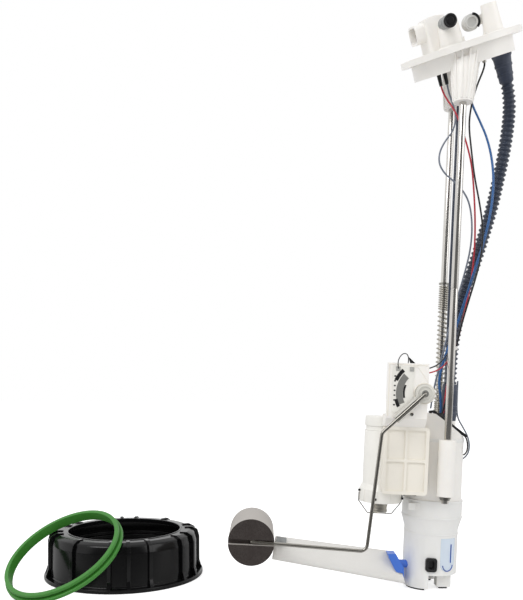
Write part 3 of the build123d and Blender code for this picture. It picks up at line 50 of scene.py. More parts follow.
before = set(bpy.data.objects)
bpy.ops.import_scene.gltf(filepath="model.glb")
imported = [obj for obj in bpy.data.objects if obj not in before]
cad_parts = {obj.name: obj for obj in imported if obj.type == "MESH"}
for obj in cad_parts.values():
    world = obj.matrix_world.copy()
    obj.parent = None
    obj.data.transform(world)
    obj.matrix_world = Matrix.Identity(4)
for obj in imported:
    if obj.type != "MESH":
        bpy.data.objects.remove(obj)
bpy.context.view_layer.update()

MM = 0.001

# The camera's place in metres, its lens and sensor in millimetres, and the rows of its render.
EYE = (-0.0015, -0.7196, 0.189)
LENS, SENSOR_WIDTH = 45.0, 36.0
FRAME_HEIGHT = 600
HORIZON_ROW = 381  # the camera's own height, in rows from the top
LAMP_SIZE, FLOOR_HALF = 0.9, 6.0
PUMP_LEAD_RADIUS, SENDER_LEAD_RADIUS = 0.7, 0.6


# --- frames of the object -----------------------------------------------------------------------
def axes(origin, x_axis, z_axis):
    """A frame in metres from its origin in millimetres and two of its directions."""
    z = Vector(z_axis).normalized()
    x = Vector(x_axis).normalized()
    made = Matrix((x, z.cross(x), z)).transposed().to_4x4()
    made.translation = Vector(origin) * MM
    return made


def turn(degrees):
    """Cosine and sine of an angle."""
    return math.cos(math.radians(degrees)), math.sin(math.radians(degrees))


def within(base, x, y, z):
    """The world point, in millimetres, at x, y, z of a frame."""
    return (base @ (Vector((x, y, z)) * MM)) / MM


def heading(base, x, y, z):
    """The world direction along x, y, z of a frame."""
    return base.to_3x3() @ Vector((x, y, z))


# The frames' leans and turns, in degrees.
MODULE_LEAN = 2.6
FLANGE_LEAN, FLANGE_NOD = 20.6, 17.4
GASKET_LEAN, GASKET_TURN = 32.74, 34.6
SOCK_RISE, SOCK_ROLL = 8.6, 50.0

flat, rise = turn(MODULE_LEAN)
MODULE = axes((153.4, -22.6, 0), (flat, 0, -rise), (rise, 0, flat))
flat, rise = turn(FLANGE_LEAN)
level, nod = turn(FLANGE_NOD)
FLANGE = axes(
    within(MODULE, 7.4, -1.4, 495.6),
    heading(MODULE, flat, 0, rise),
    heading(MODULE, -rise * level, -nod, flat * level),
)
RING = axes((-136.3, 19.9, 0), (1, 0, 0), (0, 0, 1))
flat, rise = turn(GASKET_LEAN)
level, nod = turn(GASKET_TURN)
GASKET = axes((-179.87, -43.24, 33.04), (level, -nod, 0), (-rise * nod, -rise * level, flat))
flat, rise = turn(SOCK_RISE)
level, nod = turn(SOCK_ROLL)
SOCK = axes(
    within(MODULE, -36.0, -12.0, 18.5),
    heading(MODULE, -flat, 0, rise),
    heading(MODULE, rise * level, -nod, flat * level),
)
HERE = Matrix.Identity(4)

# Axes of the pieces: x and y in the module's or the flange's frame, x and z where they face forward.
FRONT_ROD, REAR_ROD = (3.7, -33.0), (9.4, 31.0)
CANISTER = (-50.2, -11.0)
HOSE_OUTLET, HOSE_INLET = (28.3, -20.0), (11.3, -2.0)
ARM_HUB = (-21.6, 177.2)
FEED_PORT, SECOND_PORT = (-16.6, 26.2), (9.4, 20.6)
CUP_FACE = 24.62  # radius of the level window's front
SENDER_FACE = 46.6  # how far forward the sender's card lies


def upright(x, y, z=0.0):
    """A place in a frame, its axis along the frame's z."""
    return Matrix.Translation((x, y, z))


def forward(x=0.0, y=0.0, z=0.0):
    """A place in a frame, its axis along the frame's minus y and its x kept."""
    made = Matrix(((1, 0, 0), (0, 0, -1), (0, 1, 0))).to_4x4()
    made.translation = (x, y, z)
    return made


def added(name, data):
    """A new object in the scene."""
    made = bpy.data.objects.new(name, data)
    bpy.context.scene.collection.objects.link(made)
    return made


# --- shader language ----------------------------------------------------------------------------
def ink(red, green, blue):
    """A written colour, 0 to 255, as the shader's linear colour."""

    def linear(value):
        share = value / 255
        return share / 12.92 if share <= 0.04045 else ((share + 0.055) / 1.055) ** 2.4

    return (linear(red), linear(green), linear(blue), 1.0)


def arithmetic(operation, swapped=False):
    """A method of Signal that adds one Math node."""

    def method(self, other=0.0):
        first, second = (other, self) if swapped else (self, other)
        values = {0: first, 1: second}
        return self.tree.node("ShaderNodeMath", {"operation": operation}, values)

    return method


class Signal:
    """One socket of a node tree; arithmetic on it adds the nodes."""

    def __init__(self, tree, socket):
        self.tree = tree
        self.socket = socket

    __add__ = arithmetic("ADD")
    __radd__ = arithmetic("ADD", True)
    __sub__ = arithmetic("SUBTRACT")
    __rsub__ = arithmetic("SUBTRACT", True)
    __mul__ = arithmetic("MULTIPLY")
    __rmul__ = arithmetic("MULTIPLY", True)
    __truediv__ = arithmetic("DIVIDE")
    sine = arithmetic("SINE")
    cosine = arithmetic("COSINE")
    tanh = arithmetic("TANH")


class Tree:
    """A node tree that is built up node by node."""

    def __init__(self, tree):
        self.tree = tree

    def node(self, kind, settings=None, inputs=None, output=0):
        """Add a node: its settings first, then the values or signals of its sockets."""
        made = self.tree.nodes.new(kind)
        for key, value in (settings or {}).items():
            if key == "stops":
                for element, place in zip(made.color_ramp.elements, value):
                    element.position = place
            else:
                setattr(made, key, value)
        for key, value in (inputs or {}).items():
            self.feed(made.inputs[key], value)
        return Signal(self, made.outputs[output])

    def feed(self, socket, value):
        """Link a signal to a socket, or set the socket's own value."""
        if isinstance(value, Signal):
            self.tree.links.new(value.socket, socket)
        else:
            socket.default_value = value

    def split(self, vector):
        """The x, y and z signals of a vector."""
        parts = self.node("ShaderNodeSeparateXYZ", {}, {0: vector}).socket.node
        return [Signal(self, output) for output in parts.outputs]


class Finish(Tree):
    """A material that is built up node by node."""

    def __init__(self, name):
        self.material = bpy.data.materials.new(name)
        self.material.use_nodes = True
        super().__init__(self.material.node_tree)
        self.tree.nodes.clear()
        self.shader = self.tree.nodes.new("ShaderNodeBsdfPrincipled")
        self.out = self.tree.nodes.new("ShaderNodeOutputMaterial")
        self.tree.links.new(self.shader.outputs[0], self.out.inputs[0])

    def set(self, **values):
        """Feed the shader's sockets; an underscore stands for a space."""
        for key, value in values.items():
            self.feed(self.shader.inputs[key.replace("_", " ")], value)
        return self

    def place(self, base=None, stretch=(1, 1, 1)):
        """Object coordinates, in a frame's own axes if one is given, stretched along each."""
        here = self.node("ShaderNodeTexCoord", output="Object")
        if base is not None:
            spin = base.to_3x3().inverted().to_euler()
            shift = -(base.to_3x3().inverted() @ base.translation)
            here = self.node(
                "ShaderNodeMapping", {}, {"Vector": here, "Rotation": spin, "Location": shift}
            )
        if stretch != (1, 1, 1):
            here = self.node("ShaderNodeMapping", {}, {"Vector": here, "Scale": stretch})
        return here

    def noise(self, vector, scale, detail=3.0, roughness=0.55):
        """Soft noise between 0 and 1."""
        values = {"Vector": vector, "Scale": scale, "Detail": detail, "Roughness": roughness}
        return self.node("ShaderNodeTexNoise", {}, values)

    def grey(self, signal, low, high):
        """A grey step from low to high, as a mask."""
        return self.node("ShaderNodeValToRGB", {"stops": (low, high)}, {0: signal})

    def blend(self, share, first, second):
        """A mix of two colours."""
        settings = {"data_type": "RGBA"}
        return self.node("ShaderNodeMix", settings, {0: share, 6: first, 7: second}, output=2)

    def bump(self, height, strength, distance=0.0005):
        """A normal raised by a height signal."""
        values = {"Height": height, "Strength": strength, "Distance": distance}
        return self.node("ShaderNodeBump", {}, values)


def darker(colour, share):
    """A colour scaled in brightness."""
    return (colour[0] * share, colour[1] * share, colour[2] * share, 1.0)


def moulded(name, colour, roughness=0.38, mottle=0.94, grain=0.10, coat=0.0, glow=0.0, shine=0.5):
    """Moulded plastic: faint flow mottling, a fine skin and patchy gloss."""
    made = Finish(name)
    here = made.place()
    cloud = made.noise(here, 38, 4)
    streak = made.noise(made.place(stretch=(1, 1, 0.25)), 150, 3)
    tone = made.blend(made.grey(cloud, 0.36, 0.66), darker(colour, mottle), colour)
    made.set(
        Base_Color=made.blend(made.grey(streak, 0.62, 0.80), tone, darker(colour, mottle * 0.97)),
        Roughness=cloud * 0.16 + (roughness - 0.08),
        Normal=made.bump(made.noise(here, 1400, 2), grain, 0.0003),
        Specular_IOR_Level=shine,
    )
    if coat:
        made.set(Coat_Weight=coat, Coat_Roughness=0.12)
    if glow:
        made.set(Subsurface_Weight=glow, Subsurface_Radius=(0.006, 0.005, 0.004), Subsurface_Scale=1.0)
    return made.material


def polished_steel(name, colour, roughness=0.2, base=None, stretch=(1, 1, 0.03)):
    """Ground and polished steel with fine streaks along one axis."""
    made = Finish(name)
    here = made.place(base, stretch)
    lines = made.noise(here, 1600, 3)
    cloud = made.noise(made.place(), 60, 3)
    made.set(
        Metallic=1.0,
        Base_Color=made.blend(made.grey(cloud, 0.3, 0.7), darker(colour, 0.88), colour),
        Roughness=lines * 0.03 + (roughness - 0.015),
        Normal=made.bump(lines, 0.006, 0.0001),
    )
    return made.material


def soft_rubber(name, colour, roughness=0.55, bloom=0.12):
    """Moulded rubber with a dusty bloom."""
    made = Finish(name)
    here = made.place()
    cloud = made.noise(here, 55, 5)
    dusty = tuple(channel + bloom * (0.5 - channel) for channel in colour[:3]) + (1.0,)
    made.set(
        Base_Color=made.blend(made.grey(cloud, 0.45, 0.75), colour, dusty),
        Roughness=cloud * 0.2 + (roughness - 0.1),
        Normal=made.bump(made.noise(here, 1800, 2), 0.18, 0.0003),
    )
    return made.material


def insulation(name, colour, roughness=0.32):
    """Extruded wire insulation, slightly uneven in gloss."""
    made = Finish(name)
    cloud = made.noise(made.place(), 120, 3)
    made.set(
        Base_Color=made.blend(made.grey(cloud, 0.3, 0.75), colour, darker(colour, 0.82)),
        Roughness=cloud * 0.2 + (roughness - 0.08),
        Normal=made.bump(made.noise(made.place(), 1500, 2), 0.05, 0.0002),
    )
    return made.material


def foam_with_painted_sheen(name, face, side):
    """Closed-cell float foam: a dark moulded face towards the camera, a painted sheen of paler grey on the
    top and sides, and fine cells.
    """
    made = Finish(name)
    here = made.place()
    normal = made.node("ShaderNodeTexCoord", output="Normal")
    _, out_y, _ = made.split(normal)
    # Painted sheen: surfaces facing the camera keep the dark foam colour, while the top and sides, seen at a
    # grazing angle, are painted the paler grey.
    front = made.grey(out_y * -1.0, 0.55, 0.85)
    cells = made.node(
        "ShaderNodeTexVoronoi", {"feature": "F1"}, {"Vector": here, "Scale": 900.0}, output="Distance"
    )
    cloud = made.noise(here, 130, 5)
    # The foam's own colour and the painted-sheen grey, mixed by the facing mask above.
    tone = made.blend(front, side, face)
    speck = made.grey(cells, 0.15, 0.55)
    made.set(
        Base_Color=made.blend(speck * 0.08, tone, made.blend(cloud, darker(face, 0.8), darker(side, 0.9))),
        Roughness=0.85,
        Normal=made.bump(cells * 0.5 + cloud * 0.5, 0.28, 0.0005),
    )
    return made.material


def woven(name, colour, base, pitch=0.9):
    """A fine plain weave in a frame's own axes, with painted shade in the gaps between the threads."""
    made = Finish(name)
    along, across, _ = made.split(made.place(base))
    turns = 2 * math.pi / (pitch * MM)
    warp = (along * turns).sine() * 0.5 + 0.5
    weft = (across * turns).sine() * 0.5 + 0.5
    threads = warp * weft
    cloud = made.noise(made.place(), 45, 4)
    tone = made.blend(made.grey(cloud, 0.3, 0.75), colour, darker(colour, 0.93))
    # Painted shade: the gaps between the threads are darkened to 0.82 of the cloth's colour.
    made.set(
        Base_Color=made.blend(made.grey(threads, 0.05, 0.55), darker(colour, 0.82), tone),
        Roughness=0.78,
        Normal=made.bump(threads, 0.45, 0.0004),
    )
    return made.material


RECIPES = {
    "white_nylon": (moulded, (247, 244, 239), 0.36, 0.97, 0.10, 0.15, 0.08),
    "milky_cup": (moulded, (242, 241, 238), 0.34, 0.96, 0.08, 0.2, 0.12),
    "cream_cover": (moulded, (241, 236, 225), 0.42, 0.97, 0.16),
    "canister_white": (moulded, (244, 242, 236), 0.3, 0.97, 0.08, 0.2),
    "grey_acetal": (moulded, (150, 152, 152), 0.42, 0.9, 0.12),
    "dark_grey": (moulded, (62, 62, 64), 0.45, 0.85, 0.15),
    "track_grey": (moulded, (128, 128, 124), 0.42, 0.92, 0.08),
    "port_grey": (moulded, (206, 206, 203), 0.4, 0.95, 0.1),
    "arm_grey": (moulded, (176, 176, 172), 0.4, 0.92, 0.12),
    "ring_black": (moulded, (12, 12, 13), 0.17, 0.8, 0.02, 0.0, 0.0, 0.26),
    "cap_black": (moulded, (26, 26, 28), 0.35, 0.8, 0.1),
    "plug_blue": (moulded, (66, 116, 214), 0.36, 0.88, 0.1),
    "window_blue": (moulded, (44, 84, 170), 0.3, 0.85, 0.06, 0.3),
    "boot_rubber": (soft_rubber, (56, 64, 82), 0.5, 0.04),
    "hose_black": (soft_rubber, (50, 58, 74), 0.34, 0.05),
    "pad_rubber": (soft_rubber, (40, 40, 42), 0.7, 0.1),
    "gasket_green": (soft_rubber, (56, 128, 40), 0.5, 0.02),
    "rod_steel": (polished_steel, (214, 211, 206), 0.14, MODULE),
    "wire_steel": (polished_steel, (160, 157, 150), 0.26),
    "spring_steel": (polished_steel, (178, 174, 164), 0.28),
    "clip_steel": (polished_steel, (160, 158, 152), 0.3),
    "can_steel": (polished_steel, (200, 196, 186), 0.3, MODULE, (0.05, 0.05, 1)),
    "tinned": (polished_steel, (205, 202, 192), 0.3),
    "copper": (polished_steel, (196, 128, 86), 0.3),
    "magnet": (moulded, (52, 53, 56), 0.6, 0.8, 0.2),
    "carbon": (moulded, (34, 34, 34), 0.6, 0.8, 0.2),
    "card_white": (moulded, (238, 236, 229), 0.3, 0.96, 0.05),
    "track_black": (moulded, (30, 30, 32), 0.4, 0.8, 0.1),
    "red_sheath": (insulation, (188, 34, 54)),
    "blue_sheath": (insulation, (44, 98, 158)),
    "grey_sheath": (insulation, (118, 126, 140)),
    "black_sheath": (insulation, (26, 27, 30)),
    # The float's dark brown foam, with a pale grey painted sheen on its top and sides.
    "float_foam": (foam_with_painted_sheen, (40, 31, 28), ink(186, 181, 176)),
    "sock_cloth": (woven, (242, 240, 236), SOCK),
    "filter_paper": (moulded, (214, 200, 160), 0.8, 0.9, 0.3),
    "arm_white": (moulded, (214, 212, 204), 0.36, 0.94, 0.1, 0.1),
    "window_pale": (moulded, (216, 228, 241), 0.2, 0.96, 0.04, 0.4, 0.1),
    "sock_edge": (moulded, (226, 224, 219), 0.6, 0.94, 0.2),
}
FINISHES = {}


def finish(name):
    """A finish of the object by name, made when it is first asked for."""
    if name not in FINISHES:
        kind, colour, *rest = RECIPES[name]
        FINISHES[name] = kind(name, ink(*colour), *rest)
    return FINISHES[name]


# --- making meshes ------------------------------------------------------------------------------
def rounded(points, radius=0.6, steps=3):
    """A closed outline with its corners rounded; a third number at a point is its own radius."""
    made = []
    count = len(points)
    for index, point in enumerate(points):
        here = Vector(point[:2])
        own = point[2] if len(point) > 2 else radius
        before = Vector(points[index - 1][:2]) - here
        after = Vector(points[(index + 1) % count][:2]) - here
        if own <= 0 or before.length < 1e-6 or after.length < 1e-6:
            made.append(here)
            continue
        half = before.angle(after) / 2
        if half > math.radians(86) or half < math.radians(4):
            made.append(here)
            continue
        reach = min(own / math.tan(half), 0.45 * before.length, 0.45 * after.length)
        start = here + before.normalized() * reach
        end = here + after.normalized() * reach
        for step in range(steps + 1):
            share = step / steps
            made.append((1 - share) ** 2 * start + 2 * share * (1 - share) * here + share**2 * end)
    return made


class Maker:
    """Collects the faces of one piece in a frame's millimetres."""

    def __init__(self, base):
        self.base = base
        self.bm = bmesh.new()

    def ring(self, place, points):
        """New vertices at points of a place."""
        return [self.bm.verts.new(place @ Vector(point)) for point in points]

    def skin(self, rings):
        """Faces between rings of one count, and the two ends."""
        for low, high in zip(rings, rings[1:]):
            for step in range(len(low)):
                following = (step + 1) % len(low)
                self.bm.faces.new([low[step], low[following], high[following], high[step]])
        self.bm.faces.new(list(reversed(rings[0])))
        self.bm.faces.new(rings[-1])
        return self

    def turned(self, points, place=HERE, steps=72, radius=0.5):
        """Turn a closed outline of radius and height pairs round the place's axis."""
        circle = [turn(360.0 * step / steps) for step in range(steps)]
        rings = []
        for point in rounded(points, radius):
            spots = [(point.x * c, point.x * s, point.y) for c, s in circle]
            rings.append(self.ring(place, [(0, 0, point.y)] if point.x < 1e-5 else spots))
        for low, high in zip(rings, rings[1:] + rings[:1]):
            count = max(len(low), len(high))
            for step in range(count):
                following = (step + 1) % count
                corners = [low[step % len(low)], low[following % len(low)]]
                corners += [high[following % len(high)], high[step % len(high)]]
                unique = list(dict.fromkeys(corners))
                if len(unique) > 2:
                    self.bm.faces.new(unique)
        return self

    def slab(self, outline, low, high, place=HERE, radius=0.0):
        """A flat outline raised between two heights of the place's axis."""
        flat = rounded(outline, radius, 4)
        return self.skin([self.ring(place, [(p.x, p.y, z) for p in flat]) for z in (low, high)])

    def bar(self, x_range, y_range, low, high, place=HERE, radius=0.0):
        """A block between limits."""
        (x0, x1), (y0, y1) = x_range, y_range
        return self.slab([(x0, y0), (x1, y0), (x1, y1), (x0, y1)], low, high, place, radius)

    def ribbon(self, points, width, thickness, place):
        """A flat strip that follows points in the place's x and z, its width along the place's y."""
        rings = []
        for index, (x, z) in enumerate(points):
            before = Vector(points[max(index - 1, 0)])
            way = (Vector(points[min(index + 1, len(points) - 1)]) - before).normalized()
            side = Vector((-way.y, way.x)) * thickness / 2
            corners = ((1, -1), (1, 1), (-1, 1), (-1, -1))
            rings.append(
                self.ring(place, [(x + a * side.x, b * width / 2, z + a * side.y) for a, b in corners])
            )
        return self.skin(rings)

    def tube(self, points, radius, sides=16):
        """A round bar along points of the frame, its section kept from twisting."""
        spots = [Vector(p) for p in points]
        circle = [turn(360 * step / sides) for step in range(sides)]
        rings = []
        side = None
        for index, spot in enumerate(spots):
            before = spots[max(index - 1, 0)]
            way = (spots[min(index + 1, len(spots) - 1)] - before).normalized()
            side = side or way.orthogonal().normalized()
            side = (side - way * side.dot(way)).normalized()
            other = way.cross(side)
            rings.append(self.ring(HERE, [spot + side * c * radius + other * s * radius for c, s in circle]))
        return self.skin(rings)

    def done(self, name, look, sharp=35, bevel=0.0):
        """Close the piece: merge, face outwards, scale to metres and give it its finish."""
        bmesh.ops.remove_doubles(self.bm, verts=self.bm.verts, dist=1e-4)
        bmesh.ops.recalc_face_normals(self.bm, faces=self.bm.faces)
        mesh = bpy.data.meshes.new(name)
        self.bm.to_mesh(mesh)
        self.bm.free()
        mesh.transform(Matrix.Scale(MM, 4))
        mesh.transform(self.base)
        return dressed(added(name, mesh), look, sharp, bevel)


def broken(piece, width, sharp, segments=2):
    """Round a piece's sharp edges."""
    edge = piece.modifiers.new("edges", "BEVEL")
    edge.width = width * MM
    edge.segments = segments
    edge.limit_method = "ANGLE"
    edge.angle_limit = math.radians(sharp)


def dressed(piece, look, sharp=35, bevel=0.0):
    """Give a piece its finish, its edge rounding and its smooth shading."""
    mesh = piece.data
    mesh.materials.clear()
    mesh.materials.append(finish(look))
    mesh.shade_smooth()
    mesh.set_sharp_from_angle(angle=math.radians(sharp))
    if bevel:
        broken(piece, bevel, sharp)
    return piece


def put(piece, body, slot=None, *nodes):
    """Let a piece ride on a body and stand for its nodes, which are hidden; the slot is not used."""
    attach(piece, body)
    if nodes:
        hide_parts(*nodes)
    return piece


def carried(node, look, body, slot, bevel=0.35):
    """A copy of a CAD node's solid with its flats joined and its edges broken, which stands for the node."""
    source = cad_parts[node]
    mesh = source.data.copy()
    mesh.name = node + "_finished"
    shape = bmesh.new()
    shape.from_mesh(mesh)
    bmesh.ops.remove_doubles(shape, verts=shape.verts, dist=2e-6)
    bmesh.ops.dissolve_limit(
        shape, angle_limit=math.radians(0.6), verts=shape.verts, edges=shape.edges
    )
    shape.to_mesh(mesh)
    shape.free()
    put(dressed(added(node + "_finished", mesh), look, 32, bevel), body, slot, node)


def coat_nodes(look, *nodes):
    """Give CAD nodes that stay in view, or inside, their finish."""
    for node in nodes:
        dressed(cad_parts[node], look, 32)


def plain_mesh(source, name):
    """The evaluated object as a plain mesh piece; the source goes."""
    bpy.context.view_layer.update()
    graph = bpy.context.evaluated_depsgraph_get()
    mesh = bpy.data.meshes.new_from_object(source.evaluated_get(graph))
    mesh.name = name
    bpy.data.objects.remove(source)
    return added(name, mesh)


def joined(name, pieces):
    """Several plain pieces of one finish as one."""
    shape = bmesh.new()
    look = pieces[0].data.materials[0]
    for piece in pieces:
        shape.from_mesh(piece.data)
        bpy.data.objects.remove(piece)
    mesh = bpy.data.meshes.new(name)
    shape.to_mesh(mesh)
    shape.free()
    mesh.materials.append(look)
    return added(name, mesh)


# --- node trees ---------------------------------------------------------------------------------
class Growth(Tree):
    """A Geometry Nodes tree with named inputs."""

    def __init__(self, name, **inputs):
        super().__init__(bpy.data.node_groups.new(name, "GeometryNodeTree"))
        face = self.tree.interface
        face.new_socket("Geometry", in_out="INPUT", socket_type="NodeSocketGeometry")
        face.new_socket("Geometry", in_out="OUTPUT", socket_type="NodeSocketGeometry")
        for key, value in inputs.items():
            kind = "Object" if isinstance(value, bpy.types.Object) else "Float"
            face.new_socket(key, in_out="INPUT", socket_type="NodeSocket" + kind)
        self.values = inputs
        self.start = self.tree.nodes.new("NodeGroupInput")
        self.end = self.tree.nodes.new("NodeGroupOutput")

    def __getitem__(self, name):
        return Signal(self, self.start.outputs[name])

    def grown(self, geometry, target, name, look):
        """Realize, set the material, run the tree on the target and keep the plain mesh."""
        real = self.node("GeometryNodeRealizeInstances", {}, {0: geometry})
        values = {"Geometry": real, "Material": finish(look)}
        self.feed(self.end.inputs[0], self.node("GeometryNodeSetMaterial", {}, values))
        modifier = target.modifiers.new(name, "NODES")
        modifier.node_group = self.tree
        sockets = {item.name: item.identifier for item in self.tree.interface.items_tree}
        for key, value in self.values.items():
            modifier[sockets[key]] = value
        made = plain_mesh(target, name)
        made.data.shade_smooth()
        return made


def seat_of(name):
    """An empty mesh to grow a tree on."""
    return added(name + "_seat", bpy.data.meshes.new(name + "_seat"))


def copies_of(name, look, base, seed, angles):
    """Copies of a small piece turned to angles round a frame's axis; the piece faces +x."""
    growth = Growth(name + "_tree", Seed=seed)
    kind = {"data_type": "FLOAT"}
    share = growth.node("GeometryNodeInputNamedAttribute", kind, {"Name": "turn"}, "Attribute")
    spin = growth.node("ShaderNodeCombineXYZ", {}, {"Z": share})
    kind = {"transform_space": "ORIGINAL"}
    shape = growth.node("GeometryNodeObjectInfo", kind, {0: growth["Seed"]}, "Geometry")
    points = growth.node("GeometryNodeMeshToPoints", {}, {"Mesh": growth["Geometry"]})
    values = {"Points": points, "Instance": shape, "Rotation": spin}
    copies = growth.node("GeometryNodeInstanceOnPoints", {}, values)
    seat = seat_of(name)
    seat.data.from_pydata([(0, 0, 0)] * len(angles), [], [])
    turns = seat.data.attributes.new("turn", "FLOAT", "POINT")
    turns.data.foreach_set("value", [math.radians(angle) for angle in angles])
    made = growth.grown(copies, seat, name, look)
    bpy.data.objects.remove(seed)
    made.data.transform(base)
    made.data.set_sharp_from_angle(angle=math.radians(30))
    return made


# --- cords --------------------------------------------------------------------------------------
HOSE_TOP = [(28.3, -20.0, -38.0), (28.3, -20.0, -52.0)]
HOSE_ROUTE = [
    (53.7, -5.0, 432.0), (51.0, -5.5, 405.0), (46.4, -5.5, 377.0), (41.6, -5.0, 350.0),
    (35.0, -4.5, 323.0), (27.6, -4.0, 296.0), (19.5, -3.0, 268.5), (14.4, -2.4, 242.0),
    (12.0, -1.8, 222.0), (11.3, -2.0, 205.0), (11.3, -2.0, 187.0),
]
BLUE_TOP = [(-8.2, -10.0, 0.0), (-8.2, -10.0, -8.0)]
BLUE_ROUTE = [
    (8.0, -18.0, 462.0), (13.9, -21.0, 441.0), (22.0, -21.0, 425.5), (29.0, -21.5, 411.0),
    (34.2, -22.0, 393.0), (36.9, -22.5, 372.0), (36.4, -22.5, 351.0), (33.6, -22.0, 330.5),
    (29.2, -21.5, 310.0), (23.9, -21.0, 291.0), (18.4, -20.0, 270.0), (13.2, -18.0, 248.5),
    (7.6, -15.5, 229.0), (2.6, -12.5, 212.0), (-2.2, -10.5, 190.0), (1.65, -9.775, 172.0),
    (1.65, -9.775, 158.0),
]
RED_TOP = [(-29.4, -14.0, -24.0), (-29.4, -14.0, -31.0)]
RED_ROUTE = [
    (3.0, -14.0, 434.0), (11.6, -15.0, 411.0), (18.4, -16.0, 388.0), (21.4, -17.0, 362.0),
    (23.6, -17.0, 337.0), (24.5, -16.5, 312.0), (23.6, -15.5, 287.0), (20.4, -13.5, 262.0),
    (16.2, -12.6, 238.0), (12.0, -12.0, 217.0), (8.0, -11.8, 198.0), (5.2, -11.0, 178.0),
    (4.2, -10.2, 160.0),
]
BLACK_TOP = [(4.3, -39.0, -16.0), (4.3, -39.0, -19.0)]
BLACK_ROUTE = [
    (15.7, -30.0, 452.0), (12.8, -27.0, 437.0), (11.8, -24.5, 420.0), (15.0, -25.0, 398.0),
    (18.6, -25.5, 374.0), (24.6, -26.0, 349.0), (28.8, -26.0, 326.0), (28.2, -25.5, 302.0),
    (24.0, -24.5, 281.0), (18.4, -23.5, 259.0), (13.4, -22.0, 237.0), (10.2, -20.0, 216.0),
    (8.4, -18.0, 196.0), (6.0, -15.5, 176.0), (2.4, -13.6, 159.5),
]
SENSOR_TOP = [(-23.7, -14.0, -24.0), (-23.7, -14.0, -31.0)]
SENSOR_ROUTE = [
    (-0.6, -7.6, 447.5), (2.6, -10.0, 437.0), (3.6, -10.5, 427.0), (1.0, -9.5, 417.5),
    (-5.2, -8.5, 409.0), (-9.6, -8.0, 399.0), (-9.6, -8.0, 388.5), (-4.0, -8.5, 379.5),
    (4.5, -9.0, 373.0), (12.5, -9.5, 365.5), (19.6, -10.0, 354.0), (23.0, -10.5, 334.0),
    (22.6, -10.5, 312.0), (18.4, -10.0, 290.0), (13.0, -9.5, 268.0), (8.0, -9.0, 245.0),
    (3.4, -8.5, 222.0), (0.0, -7.0, 203.0), (-4.4, -6.2, 184.0), (-6.6, -6.2, 163.5),
]


def world_route(module_points, flange_points=()):
    """A route in metres, its first points in the flange's frame and the rest in the module's."""
    made = [FLANGE @ (Vector(p) * MM) for p in flange_points]
    return made + [MODULE @ (Vector(p) * MM) for p in module_points]


def smooth_line(name, points):
    """A route as one open NURBS curve object."""
    curve = bpy.data.curves.new(name, "CURVE")
    curve.dimensions = "3D"
    curve.resolution_u = 12
    spline = curve.splines.new("NURBS")
    spline.points.add(len(points) - 1)
    for target, point in zip(spline.points, points):
        target.co = (*point, 1.0)
    spline.order_u = 3
    spline.use_endpoint_u = True
    return added(name, curve)


def line_points(points):
    """Points read from the route's smooth line."""
    line = smooth_line("route", points)
    graph = bpy.context.evaluated_depsgraph_get()
    mesh = bpy.data.meshes.new_from_object(line.evaluated_get(graph))
    made = [v.co.copy() for v in mesh.vertices]
    curve = line.data
    bpy.data.objects.remove(line)
    bpy.data.curves.remove(curve)
    bpy.data.meshes.remove(mesh)
    return made


def smoothed(points):
    """Points in metres as a smooth line in millimetres."""
    return [p / MM for p in line_points(points)]


def wire(name, look, points, radius):
    """A round cord as a mesh along the route's smooth line, with that line."""
    line = line_points(points)
    make = Maker(HERE).tube([p / MM for p in line], radius, 12)
    return make.done(name, look, 50), line


def hung(piece, line, diameter, stiffness, *nodes, slot=None):
    """A cord's piece, its place baked into its mesh, which stands for its nodes; these are hidden."""
    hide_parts(*nodes)
    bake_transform(piece)
    return piece


# --- sizes and colours a user would change ------------------------------------------------------
def size(name, description, default, low, high):
    """A number that a user can set."""
    return bpy.props.FloatProperty(
        name=name, description=description, default=default, min=low, max=high
    )


class PumpRodSettings(bpy.types.PropertyGroup):
    """Guide rods and return spring."""

    rod_radius: size("Rod radius", "Radius of the guide rods", 3.175, 1.0, 6.0)
    spring_radius: size("Spring radius", "Outer radius of the spring", 4.75, 3.0, 8.0)
    spring_wire: size("Spring wire", "Thickness of the spring's wire", 1.5, 0.5, 2.5)


class PumpHoseSettings(bpy.types.PropertyGroup):
    """Corrugated hose and wires."""

    hose_radius: size("Hose radius", "Radius over the hose's crests", 6.0, 3.0, 9.0)
    hose_depth: size("Rib depth", "Depth of the hose's corrugation", 1.6, 0.2, 3.0)
    hose_pitch: size("Rib pitch", "Length of one corrugation", 4.5, 2.0, 9.0)
    wire_radius: size("Wire radius", "Radius of the wires", 0.8, 0.3, 2.0)


class PumpRingSettings(bpy.types.PropertyGroup):
    """Lock ring and gasket."""

    rib_width: size("Rib width", "Width of one rib", 3.4, 1.0, 8.0)


class PumpStageSettings(bpy.types.PropertyGroup):
    """Floor and lamps."""

    key_power: size("Key lamp", "Power of the main lamp", 11.0, 0.0, 200.0)
    fill_power: size("Fill lamp", "Power of the fill lamp", 4.0, 0.0, 200.0)
    sky: size("Room light", "Strength of the room's light", 0.74, 0.0, 3.0)


class PumpOperator(bpy.types.Operator):
    """A step that builds one group of pieces."""

    bl_options = {"REGISTER", "UNDO"}

    def execute(self, context):
        self.build(context.scene)
        return {"FINISHED"}


